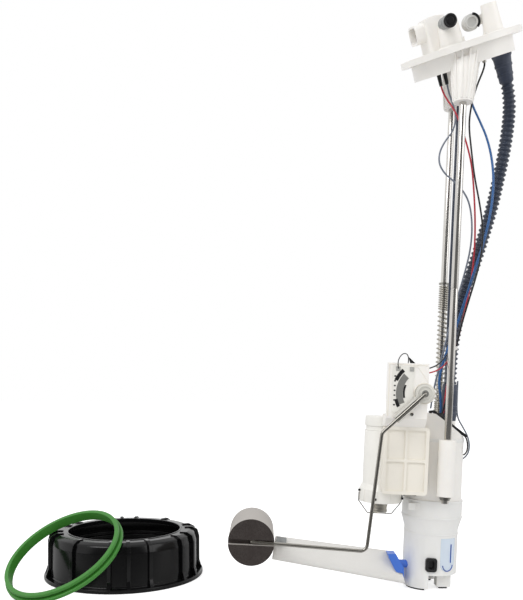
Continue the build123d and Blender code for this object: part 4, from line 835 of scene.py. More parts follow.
class PUMP_OT_stage(PumpOperator):
    """Make the camera, the floor, the lamps and the room's light"""

    bl_idname = "pump.stage"
    bl_label = "Stage"

    def build(self, scene):
        settings = scene.pump_stage
        self.camera(scene)
        self.floor()
        self.room(scene, settings.sky)
        for name, place, target, power in (
            ("key_lamp", (-0.9, -1.1, 1.35), (0.05, 0.0, 0.22), settings.key_power),
            ("fill_lamp", (1.25, -0.8, 0.9), (0.05, 0.0, 0.25), settings.fill_power),
        ):
            data = bpy.data.lights.new(name, "AREA")
            data.energy, data.size = power, LAMP_SIZE
            lamp = added(name, data)
            lamp.location = place
            way = Vector(target) - Vector(place)
            lamp.rotation_euler = way.to_track_quat("-Z", "Y").to_euler()
        scene.view_settings.view_transform = "Standard"

    def camera(self, scene):
        """A level camera at the front, its picture raised by a small shift."""
        data = bpy.data.cameras.new("front_camera")
        data.lens = LENS
        data.sensor_width = SENSOR_WIDTH
        data.sensor_fit = "AUTO"
        data.shift_y = (HORIZON_ROW - FRAME_HEIGHT / 2) / FRAME_HEIGHT
        data.clip_start = 0.01
        data.clip_end = 50
        eye = added("front_camera", data)
        eye.location = EYE
        eye.rotation_euler = (math.radians(90), 0, 0)
        scene.camera = eye

    def floor(self):
        """A plain white floor that keeps the object's shadow."""
        made = Finish("floor_white")
        rays = made.node("ShaderNodeLightPath")
        bright = made.node("ShaderNodeEmission", {}, {"Color": (1, 1, 1, 1), "Strength": 0.62})
        matt = made.node("ShaderNodeBsdfDiffuse", {}, {"Color": (0.8, 0.8, 0.8, 1)})
        both = made.node("ShaderNodeAddShader", {}, {0: bright, 1: matt})
        mixed = made.node("ShaderNodeMixShader", {}, {0: rays, 1: matt, 2: both})
        _, depth, _ = made.split(made.place())
        near = made.grey(depth * -1.0, 0.10, 0.22)
        gloss = made.node("ShaderNodeLightPath", output="Is Glossy Ray")
        dim = made.node("ShaderNodeBsdfDiffuse", {}, {"Color": (0.16, 0.16, 0.16, 1)})
        mixed = made.node("ShaderNodeMixShader", {}, {0: gloss * near, 1: mixed, 2: dim})
        made.feed(made.out.inputs[0], mixed)
        made.tree.nodes.remove(made.shader)
        mesh = bpy.data.meshes.new("floor")
        half = FLOOR_HALF
        corners = [(-half, -half, 0), (half, -half, 0), (half, half, 0), (-half, half, 0)]
        mesh.from_pydata(corners, [], [(0, 1, 2, 3)])
        mesh.materials.append(made.material)
        ground = added("floor", mesh)

    def room(self, scene, strength):
        """An even room, white where the camera looks and dimmer behind the camera for metal."""
        world = bpy.data.worlds.new("room")
        world.use_nodes = True
        made = Tree(world.node_tree)
        made.tree.nodes.clear()
        _, depth, _ = made.split(made.node("ShaderNodeTexCoord", output="Generated"))
        limits = {"From Min": -0.76, "From Max": -0.60, "To Min": 0.16, "To Max": 1.0}
        band = made.node("ShaderNodeMapRange", {}, {"Value": depth, **limits})
        light, shine, seen = (
            made.node("ShaderNodeBackground", {}, {"Color": (1, 1, 1, 1), "Strength": power})
            for power in (strength, band, 1.0)
        )
        glossy = made.node("ShaderNodeLightPath", output="Is Glossy Ray")
        direct = made.node("ShaderNodeLightPath", output="Is Camera Ray")
        mixed = made.node("ShaderNodeMixShader", {}, {0: glossy, 1: light, 2: shine})
        mixed = made.node("ShaderNodeMixShader", {}, {0: direct, 1: mixed, 2: seen})
        made.feed(made.tree.nodes.new("ShaderNodeOutputWorld").inputs[0], mixed)
        scene.world = world


class PUMP_OT_hose(PumpOperator):
    """Lay the corrugated hose and its two boots"""

    bl_idname = "pump.hose"
    bl_label = "Hose and boots"

    def build(self, scene):
        settings = scene.pump_hose
        route = world_route(HOSE_ROUTE, HOSE_TOP)
        line = line_points(route)
        source = smooth_line("hose_line", route)
        growth = Growth(
            "hose_tree",
            Radius=settings.hose_radius * MM,
            Depth=settings.hose_depth * MM,
            Pitch=settings.hose_pitch * MM,
            Step=settings.hose_pitch * MM / 8,
        )
        values = {"Curve": growth["Geometry"], "Length": growth["Step"]}
        fine = growth.node("GeometryNodeResampleCurve", {"mode": "LENGTH"}, values)
        along = growth.node("GeometryNodeSplineParameter", output="Length")
        wave = (along / growth["Pitch"] * (2 * math.pi)).cosine()
        valley = (1.0 - ((wave - 0.2) * 1.8).tanh()) * 0.5
        width = growth["Radius"] - valley * growth["Depth"]
        values = {"Resolution": 28, "Radius": 1.0}
        section = growth.node("GeometryNodeCurvePrimitiveCircle", {}, values)
        values = {"Curve": fine, "Profile Curve": section, "Scale": width, "Fill Caps": True}
        tube = growth.node("GeometryNodeCurveToMesh", {}, values)
        hose = growth.grown(tube, source, "corrugated_hose", "hose_black")
        hung(hose, line, 2 * settings.hose_radius, "medium", "hose", slot="hose_rubber")

        low, high = -38.0, -0.2
        outline = [(4.2, high), (8.9, high), (8.9, -4), (8.3, -4.6), (8.3, -6.4), (8.9, -7)]
        outline += [(8.9, -15), (8.0, -17), (7.5, -22), (7.9, -22.6), (7.9, -24.4), (7.2, -25)]
        outline += [(6.8, -30), (7.1, -30.6), (7.1, -32.4), (6.5, -33), (6.3, low), (4.2, low)]
        boot = Maker(FLANGE).turned(outline, upright(*HOSE_OUTLET), 48, 0.35)
        put(boot.done("upper_boot_ribbed", "boot_rubber"), "flange", "black_rubber", "upper_boot")

        outline = [(4.2, 153.1), (6.6, 153.1), (6.8, 156), (7.2, 157), (7.2, 160), (6.7, 160.8)]
        outline += [(6.7, 162.4), (7.2, 163), (7.2, 166), (6.7, 166.8), (6.7, 168.4), (7.2, 169)]
        outline += [(7.2, 181), (6.8, 182), (6.3, 186.8), (4.2, 186.8)]
        boot = Maker(MODULE).turned(outline, upright(*HOSE_INLET), 48, 0.35)
        put(boot.done("lower_boot_ribbed", "boot_rubber"), "reservoir", "black_rubber", "lower_boot")


class PUMP_OT_wires(PumpOperator):
    """Lay the wires between the flange and the reservoir, the short leads and the tie"""

    bl_idname = "pump.wires"
    bl_label = "Wires and tie"

    def build(self, scene):
        radius = scene.pump_hose.wire_radius
        blue = []
        for aside, back in ((0.0, 0.0), (1.1, 1.55)):
            top = [(x + aside, y + back, z) for x, y, z in BLUE_TOP]
            rest = [(x + aside, y + back, z) for x, y, z in BLUE_ROUTE]
            blue.append(world_route(rest, top))
        runs = [
            ("pump_feed_wire", "blue_sheath", blue[0], "blue_wires"),
            ("pump_return_wire", "blue_sheath", blue[1], "blue_wires"),
            ("sender_feed_wire", "red_sheath", world_route(RED_ROUTE, RED_TOP), "red_wire"),
            ("ground_wire", "black_sheath", world_route(BLACK_ROUTE, BLACK_TOP), "black_wire"),
            ("sensor_feed_wire", "grey_sheath", world_route(SENSOR_ROUTE, SENSOR_TOP), "sensor_wire"),
        ]
        for name, look, route, node in runs:
            piece, line = wire(name, look, route, radius)
            hung(piece, line, 2 * radius, "limp", node, slot=look)
        self.short_leads()
        self.tie()

    def short_leads(self):
        """The flat sleeve on the lid, the pump's leads and the sender's leads."""
        slope = (159.5 - 137.0) / 32.0

        def rise(x):
            return 159.5 - slope * (x + 6.0) + 2.1

        sleeve = Maker(MODULE)
        outline = [(-9.6, 160.4), *((x, rise(x)) for x in (-5.5, 2.0, 21.6)), (25.8, rise(25.8) + 0.4)]
        sleeve.ribbon(outline, 3.6, 2.6, upright(0, -13.4))
        made = sleeve.done("lead_sleeve", "black_sheath", 40, 0.4)
        black = [(21.6, -13.4, rise(21.6)), (25.0, -13.4, rise(25.0)), (27.2, -12.6, 133.5)]
        black += [(28.0, -10.0, 127.5), (27.4, -6.5, 123.4), (26.8, -2.5, 122.0)]
        first, _ = wire("pump_lead_black", "black_sheath", world_route(black), PUMP_LEAD_RADIUS)
        blue = [(19.4, 2.0, 190.0), (19.4, 2.0, 170.0), (20.4, 2.0, 156.0), (26.4, 2.0, 147.0)]
        blue += [(32.0, 2.5, 137.5), (34.0, 4.0, 127.0), (31.4, 7.0, 118.5), (25.1, 9.0, 114.6)]
        second, _ = wire("pump_lead_grey", "grey_sheath", world_route(blue), PUMP_LEAD_RADIUS)
        for piece in (made, first, second):
            put(piece, "reservoir", "black_sheath", "pump_leads")
        y = -44.0
        dark = [(-17.8, y, 199.5), (-13.2, y + 0.8, 201.0), (-6.2, -36.5, 205.5)]
        dark += [(-1.0, -30.0, 210.5), (2.4, -27.5, 214.6)]
        warm = [(-17.8, y, 195.5), (-13.2, y + 0.8, 196.6), (-6.4, -36.5, 200.0)]
        warm += [(0.2, -30.0, 204.6), (4.4, -26.5, 211.0)]
        for name, look, route in (
            ("sender_lead_dark", "black_sheath", dark),
            ("sender_lead_red", "red_sheath", warm),
        ):
            piece, _ = wire(name, look, world_route(route), SENDER_LEAD_RADIUS)
            put(piece, "reservoir", "black_sheath", "sender_leads")

    def tie(self):
        """The cable tie's head, with its strap end."""
        make = Maker(MODULE)
        make.bar((4.6, 10.6), (-26.6, -21.4), 217.4, 220.6, radius=0.8)
        make.bar((5.2, 10.0), (-26.9, -26.5), 218.0, 220.0)
        head = make.done("tie_head", "white_nylon", bevel=0.35)
        put(head, "reservoir", "white_nylon", "cable_tie")


class PUMP_OT_rods(PumpOperator):
    """Make the guide rods, their clips and the return spring"""

    bl_idname = "pump.rods"
    bl_label = "Rods and spring"

    def build(self, scene):
        settings = scene.pump_rods
        radius = settings.rod_radius
        front = [(0, 80.6), (radius, 80.6, 0.5), (radius, 270.4), (radius - 0.28, 270.6)]
        front += [(radius - 0.28, 271.4), (radius, 271.6), (radius, 475.0, 0.3), (0, 475.0)]
        rear = [(0, 94.6), (radius, 94.6, 0.5), (radius, 490.0, 0.3), (0, 490.0)]
        for name, place, outline in (
            ("front_rod", upright(*FRONT_ROD), front),
            ("rear_rod", upright(*REAR_ROD), rear),
        ):
            make = Maker(MODULE).turned(outline, place, 64, 0.05)
            put(make.done(name + "_polished", "rod_steel"), "flange", "steel", name)
        coat_nodes("clip_steel", "rod_clips")
        self.spring(settings)

    def spring(self, settings):
        """Close coils at both ends and open ones between, on the rear rod."""
        centre = settings.spring_radius - settings.spring_wire / 2
        parts = []
        for name, low, high, turns in (
            ("spring_foot", 158.4, 170.3, 6),
            ("spring_body", 170.3, 258.7, 20),
            ("spring_head", 258.7, 282.2, 11),
        ):
            growth = Growth(
                name + "_tree",
                Radius=centre * MM,
                Wire=settings.spring_wire / 2 * MM,
                Height=(high - low) * MM,
                Turns=float(turns),
            )
            values = {"Resolution": 28, "Rotations": growth["Turns"], "Height": growth["Height"]}
            values.update({"Start Radius": growth["Radius"], "End Radius": growth["Radius"]})
            coil = growth.node("GeometryNodeCurveSpiral", {}, values)
            values = {"Resolution": 8, "Radius": growth["Wire"]}
            section = growth.node("GeometryNodeCurvePrimitiveCircle", {}, values)
            values = {"Curve": coil, "Profile Curve": section, "Fill Caps": True}
            tube = growth.node("GeometryNodeCurveToMesh", {}, values)
            part = growth.grown(tube, seat_of(name), name, "spring_steel")
            part.data.transform(MODULE @ Matrix.Translation(Vector((*REAR_ROD, low)) * MM))
            parts.append(part)
        spring = joined("return_spring_coils", parts)
        spring.data.shade_smooth()
        put(spring, "reservoir", "steel", "return_spring")
        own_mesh(spring)


class PUMP_OT_flange(PumpOperator):
    """Finish the flange: its ribbed bosses, ports, connector and terminals"""

    bl_idname = "pump.flange"
    bl_label = "Flange"

    def build(self, scene):
        carried("flange", "white_nylon", "flange", "white_plastic", 0.6)
        self.boss_ribs()
        self.plate_details()
        self.ports()
        coat_nodes("tinned", "terminal_pins", "ground_terminal")
        outline = [(0, -24), (1.5, -24), (1.7, -20), (2.1, -12), (2.1, -10.5), (2.4, -10), (2.4, 0), (0, 0)]
        for index, place in (("first", (-29.4, -14.0)), ("second", (-23.7, -14.0))):
            boot = Maker(FLANGE).turned(outline, upright(*place), 28, 0.25)
            made = boot.done("terminal_boot_" + index, "cap_black")
            put(made, "flange", "black_rubber", "terminal_boots")

    def boss_ribs(self):
        """Upright ribs on the two bosses that hold the rods."""
        for name, centre, low, high, r_low, r_high, count in (
            ("front_boss_ribs", FRONT_ROD, 436.0, 488.0, 8.4, 14.0, 12),
            ("rear_boss_ribs", REAR_ROD, 453.0, 510.0, 7.4, 12.0, 10),
        ):
            seed = Maker(HERE)
            top = high - 9
            share = (top - low) / (high - low)
            edge = r_low + share * (r_high - r_low)
            outline = [(r_low - 1, low + 1.5), (r_low + 0.9, low + 1.5), (edge + 0.9, top), (edge - 1, top)]
            seed.slab(outline, -0.8, 0.8, forward(), radius=0.2)
            rib = seed.done(name + "_seed", "white_nylon")
            base = MODULE @ Matrix.Translation(Vector((*centre, 0)) * MM)
            turns = [6 + 360 * step / count for step in range(count)]
            ribs = copies_of(name, "white_nylon", base, rib, turns)
            put(ribs, "flange", "white_plastic")

    def plate_details(self):
        """The raised rim, webs between the posts and the steps of the connector block."""
        make = Maker(FLANGE)
        outline = [(52.8, 4.9), (55.1, 4.9), (55.1, 5.7), (52.8, 5.7)]
        make.turned(outline, steps=120, radius=0.3)
        make.bar((-29.5, -14.5), (-10.0, 14.0), 34.3, 35.4, radius=2.5)
        make.bar((-24.5, -16.5), (-6.0, 11.0), 35.3, 36.2, radius=2.0)
        make.bar((-13.5, -11.5), (-8.0, 14.0), 5.0, 16.0)
        make.bar((-11.8, 8.9), (8.0, 10.0), 4.9, 12.0)
        make.turned([(11.6, 4.9), (12.6, 4.9), (11.9, 7.5), (11.2, 7.5)], upright(-12.5, -16.0), 64, 0.2)
        make.turned([(9.4, 4.9), (10.6, 4.9), (9.9, 7.2), (9.1, 7.2)], upright(25.3, -20.0), 64, 0.2)
        details = make.done("plate_details", "white_nylon", bevel=0.3)
        put(details, "flange", "white_plastic")

    def ports(self):
        """The grey ports and their black covers."""
        mouth = forward(FEED_PORT[0], 0, FEED_PORT[1])
        outline = [(0, 18.0), (5.4, 18.0), (5.4, 26.2), (5.75, 26.3), (5.75, 28.4, 0.2), (5.2, 28.8)]
        outline += [(5.2, 30.2), (5.75, 30.6, 0.2), (5.75, 34.4), (0, 34.4)]
        port = Maker(FLANGE).turned(outline, mouth, 56, 0.25)
        put(port.done("feed_port", "grey_acetal"), "flange", "grey_plastic", "nipple_1")
        cover = Maker(FLANGE)
        outline = [(0, 34.5), (5.9, 34.5), (5.95, 36.6, 0.6), (5.0, 37.0), (4.5, 36.2), (3.2, 36.0)]
        outline += [(2.8, 36.6), (0, 36.7)]
        cover.turned(outline, mouth, 56, 0.3)
        second = forward(SECOND_PORT[0], 0, SECOND_PORT[1])
        arc = []
        for step in range(17):
            c, s = turn(-50 + 125 * step / 16)
            arc.append((7.7 * c, 7.7 * s))
        for step in range(17):
            c, s = turn(75 - 125 * step / 16)
            arc.append((5.6 * c, 5.6 * s))
        cover.slab(arc, 15.85, 17.0, second, 0.1)
        put(cover.done("port_covers", "cap_black"), "flange", "black_plastic", "nipple_caps")
        barrel = Maker(FLANGE)
        outline = [(0, 7.2), (6.8, 7.2, 0.4), (7.1, 9), (7.1, 15.8, 0.5), (5.5, 15.8), (5.5, 17.0, 0.3)]
        outline += [(4.4, 17.0, 0.3), (4.1, 14.5), (0, 14.3)]
        barrel.turned(outline, second, 56, 0.25)
        put(barrel.done("second_port", "port_grey"), "flange", "white_plastic", "nipple_2")


class PUMP_OT_reservoir(PumpOperator):
    """Finish the reservoir: cup, collar, housing, lid, guides, valve, window and feet"""

    bl_idname = "pump.reservoir"
    bl_label = "Reservoir"

    def build(self, scene):
        for node, look, slot in (
            ("reservoir_cup", "milky_cup", "white_plastic"),
            ("pump_housing", "white_nylon", "white_plastic"),
            ("reservoir_lid", "white_nylon", "white_plastic"),
            ("rod_guides", "white_nylon", "white_plastic"),
            ("inlet_valve", "cap_black", "black_plastic"),
        ):
            carried(node, look, "reservoir", slot)
        coat_nodes("pad_rubber", "foot_pads", "wire_grommet")
        coat_nodes("cap_black", "jet_pump")
        coat_nodes("hose_black", "vent_tube")
        self.beads()
        self.window()

    def beads(self):
        """Moulded beads round the collar and the rim, and the catch on the collar."""
        make = Maker(MODULE)
        for outline in (
            [(24.2, 49.6), (24.7, 49.6), (24.7, 50.8), (24.2, 50.8)],
            [(26.9, 64.2), (27.6, 64.2), (27.6, 65.8), (26.9, 65.8)],
            [(26.9, 79.0), (27.6, 79.0), (27.6, 81.0), (26.9, 81.0)],
            [(25.7, 134.0), (26.5, 134.0), (26.5, 137.2), (25.7, 137.2)],
        ):
            make.turned(outline, steps=96, radius=0.25)
        make.bar((-25.6, -15.6), (71.4, 78.0), 17.0, 20.4, forward(), 0.8)
        beads = make.done("collar_beads", "milky_cup", bevel=0.2)
        put(beads, "reservoir", "white_plastic")

    def window(self):
        """A pale blue level window with its float strip."""
        coat_nodes("window_pale", "level_window")
        make = Maker(MODULE)
        edge = 14.4
        depth = -math.sqrt(CUP_FACE**2 - edge**2)
        make.tube([(edge, depth, 25.6 + 16.6 * step / 8) for step in range(9)], 0.55, 10)
        arc = []
        for step in range(13):
            c, s = turn(185 + 170 * step / 12)
            x = 11.7 + 5.0 * c
            arc.append((x, -math.sqrt(CUP_FACE**2 - x**2), 23.8 + 5.6 * s))
        make.tube(arc, 0.45, 8)
        put(make.done("level_strip", "window_blue"), "reservoir", "blue_plastic")


class PUMP_OT_pump(PumpOperator):
    """Finish the electric pump inside the reservoir"""

    bl_idname = "pump.motor"
    bl_label = "Electric pump"

    def build(self, scene):
        coat_nodes("can_steel", "pump_case")
        coat_nodes("cap_black", "pump_base", "pump_cap")
        coat_nodes("dark_grey", "pump_bearing_plate", "pump_impeller")
        coat_nodes("magnet", "pump_magnets")
        coat_nodes("copper", "pump_armature", "pump_commutator")
        coat_nodes("rod_steel", "pump_shaft")
        coat_nodes("carbon", "pump_brushes")
        coat_nodes("white_nylon", "pump_cradle")
        coat_nodes("filter_paper", "filter_element")


class PUMP_OT_sender(PumpOperator):
    """Finish the level sender: plate, card, contacts, cover, float arm and float"""

    bl_idname = "pump.sender"
    bl_label = "Sender and float"

    def build(self, scene):
        carried("sender_plate", "white_nylon", "reservoir", "white_plastic")
        carried("sender_cover", "cream_cover", "reservoir", "cream_plastic", 0.5)
        coat_nodes("card_white", "sender_card")
        self.track()
        self.plate_lines()
        self.arm()
        carried("float_body", "float_foam", "float_arm", "float_foam", 0.9)
        coat_nodes("wire_steel", "float_wire")

    def arc(self, make, radius, width, first, last, low, high):
        """A flat arc about the hub, seen from the front."""
        outer, inner = [], []
        for step in range(25):
            c, s = turn(first + (last - first) * step / 24)
            for side, reach in ((outer, radius + width / 2), (inner, radius - width / 2)):
                side.append((ARM_HUB[0] + reach * c, ARM_HUB[1] + reach * s))
        make.slab(outer + inner[::-1], low, high, forward())

    def track(self):
        """The resistor arc, its printed dots and the two soldered contacts."""
        face = SENDER_FACE
        band = Maker(MODULE)
        self.arc(band, 21.9, 5.8, 138, 206, face, face + 0.2)
        put(band.done("resistor_band", "track_grey"), "reservoir", "copper", "resistor_track")
        dark = Maker(MODULE)
        self.arc(dark, 27.2, 3.2, 134, 157, face, face + 0.26)
        self.arc(dark, 25.2, 2.8, 193, 209, face, face + 0.26)
        self.arc(dark, 18.0, 1.6, 158, 194, face, face + 0.26)
        for step in range(7):
            z = 191.4 - 4.15 * step
            dark.bar((-48.4, -46.9), (z - 0.6, z + 0.6), face, face + 0.22, forward())
        put(dark.done("track_marks", "track_black"), "reservoir")
        pads = Maker(MODULE)
        for x, z in ((-45.3, 197.8), (-33.4, 197.8)):
            pads.bar((x - 1.9, x + 1.9), (z - 1.9, z + 1.9), face, face + 0.5, forward())
            pads.turned([(0, 0.5), (1.3, 0.5), (0.7, 0.9), (0, 1.0)], forward(x, -face, z), 20, 0.2)
        put(pads.done("contact_pads", "arm_grey", bevel=0.15), "reservoir")
        loop = Maker(MODULE)
        first = [(-45.3, -47.6, 198.0), (-46.2, -48.4, 201.4), (-45.6, -48.2, 206.6), (-42.4, -47.6, 211.0)]
        first += [(-38.6, -46.8, 211.4), (-36.6, -45.6, 208.2), (-36.4, -44.6, 204.6), (-36.4, -43.6, 202.6)]
        loop.tube(smoothed([Vector(p) * MM for p in first]), 0.42, 8)
        outline = [(-34.6, 203.2), (-30.2, 203.2), (-36.4, 208.6), (-35.4, 205.4)]
        loop.slab(outline, 43.2, 45.0, forward(), 0.2)
        put(loop.done("contact_loops", "black_sheath"), "reservoir")

    def plate_lines(self):
        """The plate's guard line, its round boss and the screw."""
        make = Maker(MODULE)
        lines = [(-34.4, 200.3), (-28.4, 200.2), (-18.6, 187.4)]
        for (x0, z0), (x1, z1) in zip(lines, lines[1:]):
            make.tube([(x0, -46.1, z0), (x1, -46.1, z1)], 0.22, 8)
        hub = forward(ARM_HUB[0], 0, ARM_HUB[1])
        make.turned([(8.3, 46.0), (9.6, 46.0), (9.2, 46.5), (8.5, 46.5)], hub, 48, 0.15)
        make.tube([(-52.6, -46.0, 156.5), (-52.6, -46.0, 201.6), (-19.8, -46.0, 201.6)], 0.4, 8)
        put(make.done("plate_lines", "cream_cover"), "reservoir", "white_plastic")
        screw = Maker(MODULE)
        outline = [(0, 46.0), (1.5, 46.0), (1.4, 46.6), (0.6, 46.7), (0.5, 46.3), (0, 46.3)]
        screw.turned(outline, forward(-31.6, 0, 158.8), 24, 0.1)
        put(screw.done("plate_screw", "clip_steel"), "reservoir")

    def arm(self):
        """The arm's hub and the clip that holds the float wire."""
        make = Maker(MODULE)
        hub = forward(ARM_HUB[0], 0, ARM_HUB[1])
        outline = [(1.52, 46.4), (8.2, 46.4), (8.2, 48.6), (7.6, 49.2), (7.6, 49.9), (6.2, 50.4)]
        outline += [(5.6, 49.6), (3.4, 49.6), (3.0, 50.4), (1.52, 50.4)]
        make.turned(outline, hub, 56, 0.25)
        centre = Vector(ARM_HUB)
        way = (Vector((-57.8, 141.8)) - centre).normalized()
        side = Vector((-way.y, way.x))

        def strip(first, last, low_side, high_side, low, high):
            places = ((first, low_side), (last, low_side), (last, high_side), (first, high_side))
            corners = [tuple(centre + way * share + side * edge) for share, edge in places]
            make.slab(corners, low, high, forward(), 0.5)

        strip(6.0, 34.0, -3.7, 3.7, 47.9, 50.4)
        strip(9.0, 33.6, -3.1, -1.9, 50.3, 52.6)
        strip(9.0, 33.6, 1.9, 3.1, 50.3, 52.6)
        put(make.done("arm_clip", "arm_white", bevel=0.2), "float_arm", "grey_plastic", "arm_holder")
        seat = Maker(MODULE).turned([(1.52, 50.3), (3.1, 50.3), (2.9, 50.6), (1.52, 50.6)], hub, 40, 0.1)
        put(seat.done("arm_wire_seat", "track_grey"), "float_arm")


class PUMP_OT_canister(PumpOperator):
    """Make the filter canister, its cap, the pressure regulator and its bail"""

    bl_idname = "pump.canister"
    bl_label = "Filter canister"

    def build(self, scene):
        place = upright(*CANISTER)
        body = Maker(MODULE)
        outline = [(7.1, 77.0), (19.0, 77.0, 1.0), (19.0, 88.5, 0.8), (17.4, 92.0, 0.8), (16.6, 93.5, 0.4)]
        outline += [(16.6, 141.8, 0.3), (14.9, 141.8), (14.9, 84.9), (3.0, 84.9), (3.0, 83.1), (7.1, 83.1)]
        body.turned(outline, place, 96, 0.3)
        made = body.done("canister_body", "canister_white")
        put(made, "reservoir", "white_plastic", "filter_canister")
        cap = Maker(MODULE)
        outline = [(0, 155.0), (13.6, 155.0, 0.5), (13.9, 154.2), (14.8, 154.2), (15.0, 155.0)]
        outline += [(16.6, 155.0, 0.9), (16.6, 146.0, 0.3), (15.5, 145.6), (15.5, 142.2)]
        outline += [(16.4, 141.9, 0.1), (13.2, 141.9), (13.2, 153.2), (0, 153.2)]
        cap.turned(outline, place, 96, 0.2)
        put(cap.done("canister_lid", "canister_white"), "reservoir", "white_plastic", "canister_cap")
        can = Maker(MODULE)
        outline = [(0, 66.5), (5.4, 66.5, 0.6), (6.1, 67.0, 0.3), (6.9, 68.2, 0.3), (6.9, 69.6, 0.2)]
        outline += [(6.5, 70.0), (6.5, 72.6), (7.0, 73.0), (7.0, 82.9), (0, 82.9)]
        can.turned(outline, place, 64, 0.15)
        can.turned([(0, 66.3), (2.2, 66.3), (2.2, 66.9), (0, 66.9)], place, 32, 0.2)
        put(can.done("regulator_can", "can_steel"), "reservoir", "steel", "pressure_regulator")
        coat_nodes("wire_steel", "regulator_bail")
        self.hooks()

    def hooks(self):
        """The small hooks of the bail and the ribs of the canister's foot."""
        dark = Maker(MODULE)
        for x, y, z in ((-69.6, -14.0, 86.0), (-57.6, -29.2, 80.0), (-31.6, -18.6, 80.4)):
            dark.bar((x - 1.3, x + 1.3), (y - 0.7, y + 0.7), z, z + 1.9)
        hook = [(-31.6, -19.6, 80.8), (-32.4, -20.4, 83.6), (-29.6, -20.4, 85.2), (-20.0, -24.4, 85.4)]
        route = [MODULE.inverted() @ p for p in world_route(hook)]
        dark.tube(smoothed(route), 0.35, 8)
        put(dark.done("bail_hooks", "cap_black", bevel=0.2), "reservoir")
        seed = Maker(HERE)
        outline = [(16.2, 78.5), (19.5, 78.5), (19.5, 87.5), (17.4, 92.5), (16.2, 92.5)]
        seed.slab(outline, -0.7, 0.7, forward(), radius=0.3)
        rib = seed.done("foot_rib_seed", "canister_white")
        base = MODULE @ Matrix.Translation(Vector((*CANISTER, 0)) * MM)
        turns = [12 + 40 * step for step in range(9)]
        ribs = copies_of("canister_foot_ribs", "canister_white", base, rib, turns)
        put(ribs, "reservoir", "white_plastic")


class PUMP_OT_strainer(PumpOperator):
    """Make the strainer's cloth bag, its tab and its connector"""

    bl_idname = "pump.strainer"
    bl_label = "Strainer"

    def build(self, scene):
        self.bag()
        tab = Maker(SOCK)
        tab.bar((100.0, 109.0), (-3.5, 3.5), 4.05, 6.5, radius=1.0)
        tab.turned([(0, 6.4), (1.6, 6.4), (1.4, 7.0), (0, 7.1)], upright(104.5, 0), 24, 0.2)
        put(tab.done("strainer_clip", "grey_acetal", bevel=0.3), "reservoir", "grey_plastic", "strainer_tab")
        carried("strainer_connector", "plug_blue", "reservoir", "blue_plastic", 0.5)

    def bag(self):
        """A flat woven bag: a fuller middle, a welded edge and shallow creases."""
        long, across = 90, 34
        length, thick = 110.0, 8.0
        make = Maker(SOCK)
        bm = make.bm
        layers = []
        for side in (1, -1):
            grid = []
            for i in range(long + 1):
                u = i / long
                row = []
                half, middle = 15.0 - 3.0 * u, 5.0 * u
                for j in range(across + 1):
                    v = 2 * j / across - 1
                    edge = max(0.0, 1 - abs(v) ** 3.2)
                    ends = min(1.0, (1 - u) / 0.07) ** 0.5 * (0.82 + 0.18 * min(1.0, u / 0.05))
                    full = edge**0.6 * ends
                    crease = 0.22 * math.sin(u * 21 + 3 * v) * math.sin(v * 5 + 1.3) * full
                    sag = 0.25 * math.sin(u * 9.0 + 0.6)
                    height = side * (0.35 + (thick / 2 - 0.75) * full + crease) + sag * full * 0.6
                    height = max(-thick / 2, min(thick / 2, height))
                    start = -11.5 * (v + 1) / 2
                    spot = (start + u * (length - start), middle + v * (half - 0.2), height)
                    row.append(bm.verts.new(spot))
                grid.append(row)
            layers.append(grid)
        top, bottom = layers
        for i in range(long):
            for j in range(across):
                bm.faces.new([top[i][j], top[i + 1][j], top[i + 1][j + 1], top[i][j + 1]])
                bm.faces.new([bottom[i][j], bottom[i][j + 1], bottom[i + 1][j + 1], bottom[i + 1][j]])
            for j in (0, across):
                bm.faces.new([top[i][j], bottom[i][j], bottom[i + 1][j], top[i + 1][j]])
        for i in (0, long):
            for j in range(across):
                bm.faces.new([top[i][j], top[i][j + 1], bottom[i][j + 1], bottom[i][j]])
        bag = make.done("strainer_bag", "sock_cloth", 60)
        put(bag, "reservoir", "woven_cloth", "strainer_sock")
        weld = Maker(SOCK)
        for start, root, tip in ((0.5, -14.4, -6.4), (-10.6, 14.4, 16.4)):
            run = []
            for share in (0, 0.35, 0.7, 1):
                run.append((start + (109.2 - start) * share, root + (tip - root) * share, 0.1))
            weld.tube(run, 0.5, 8)
        weld.tube([(109.3, -6.4, 0.0), (109.3, 16.4, 0.0)], 0.5, 8)
        put(weld.done("strainer_weld", "sock_edge", 60), "reservoir", "woven_cloth")


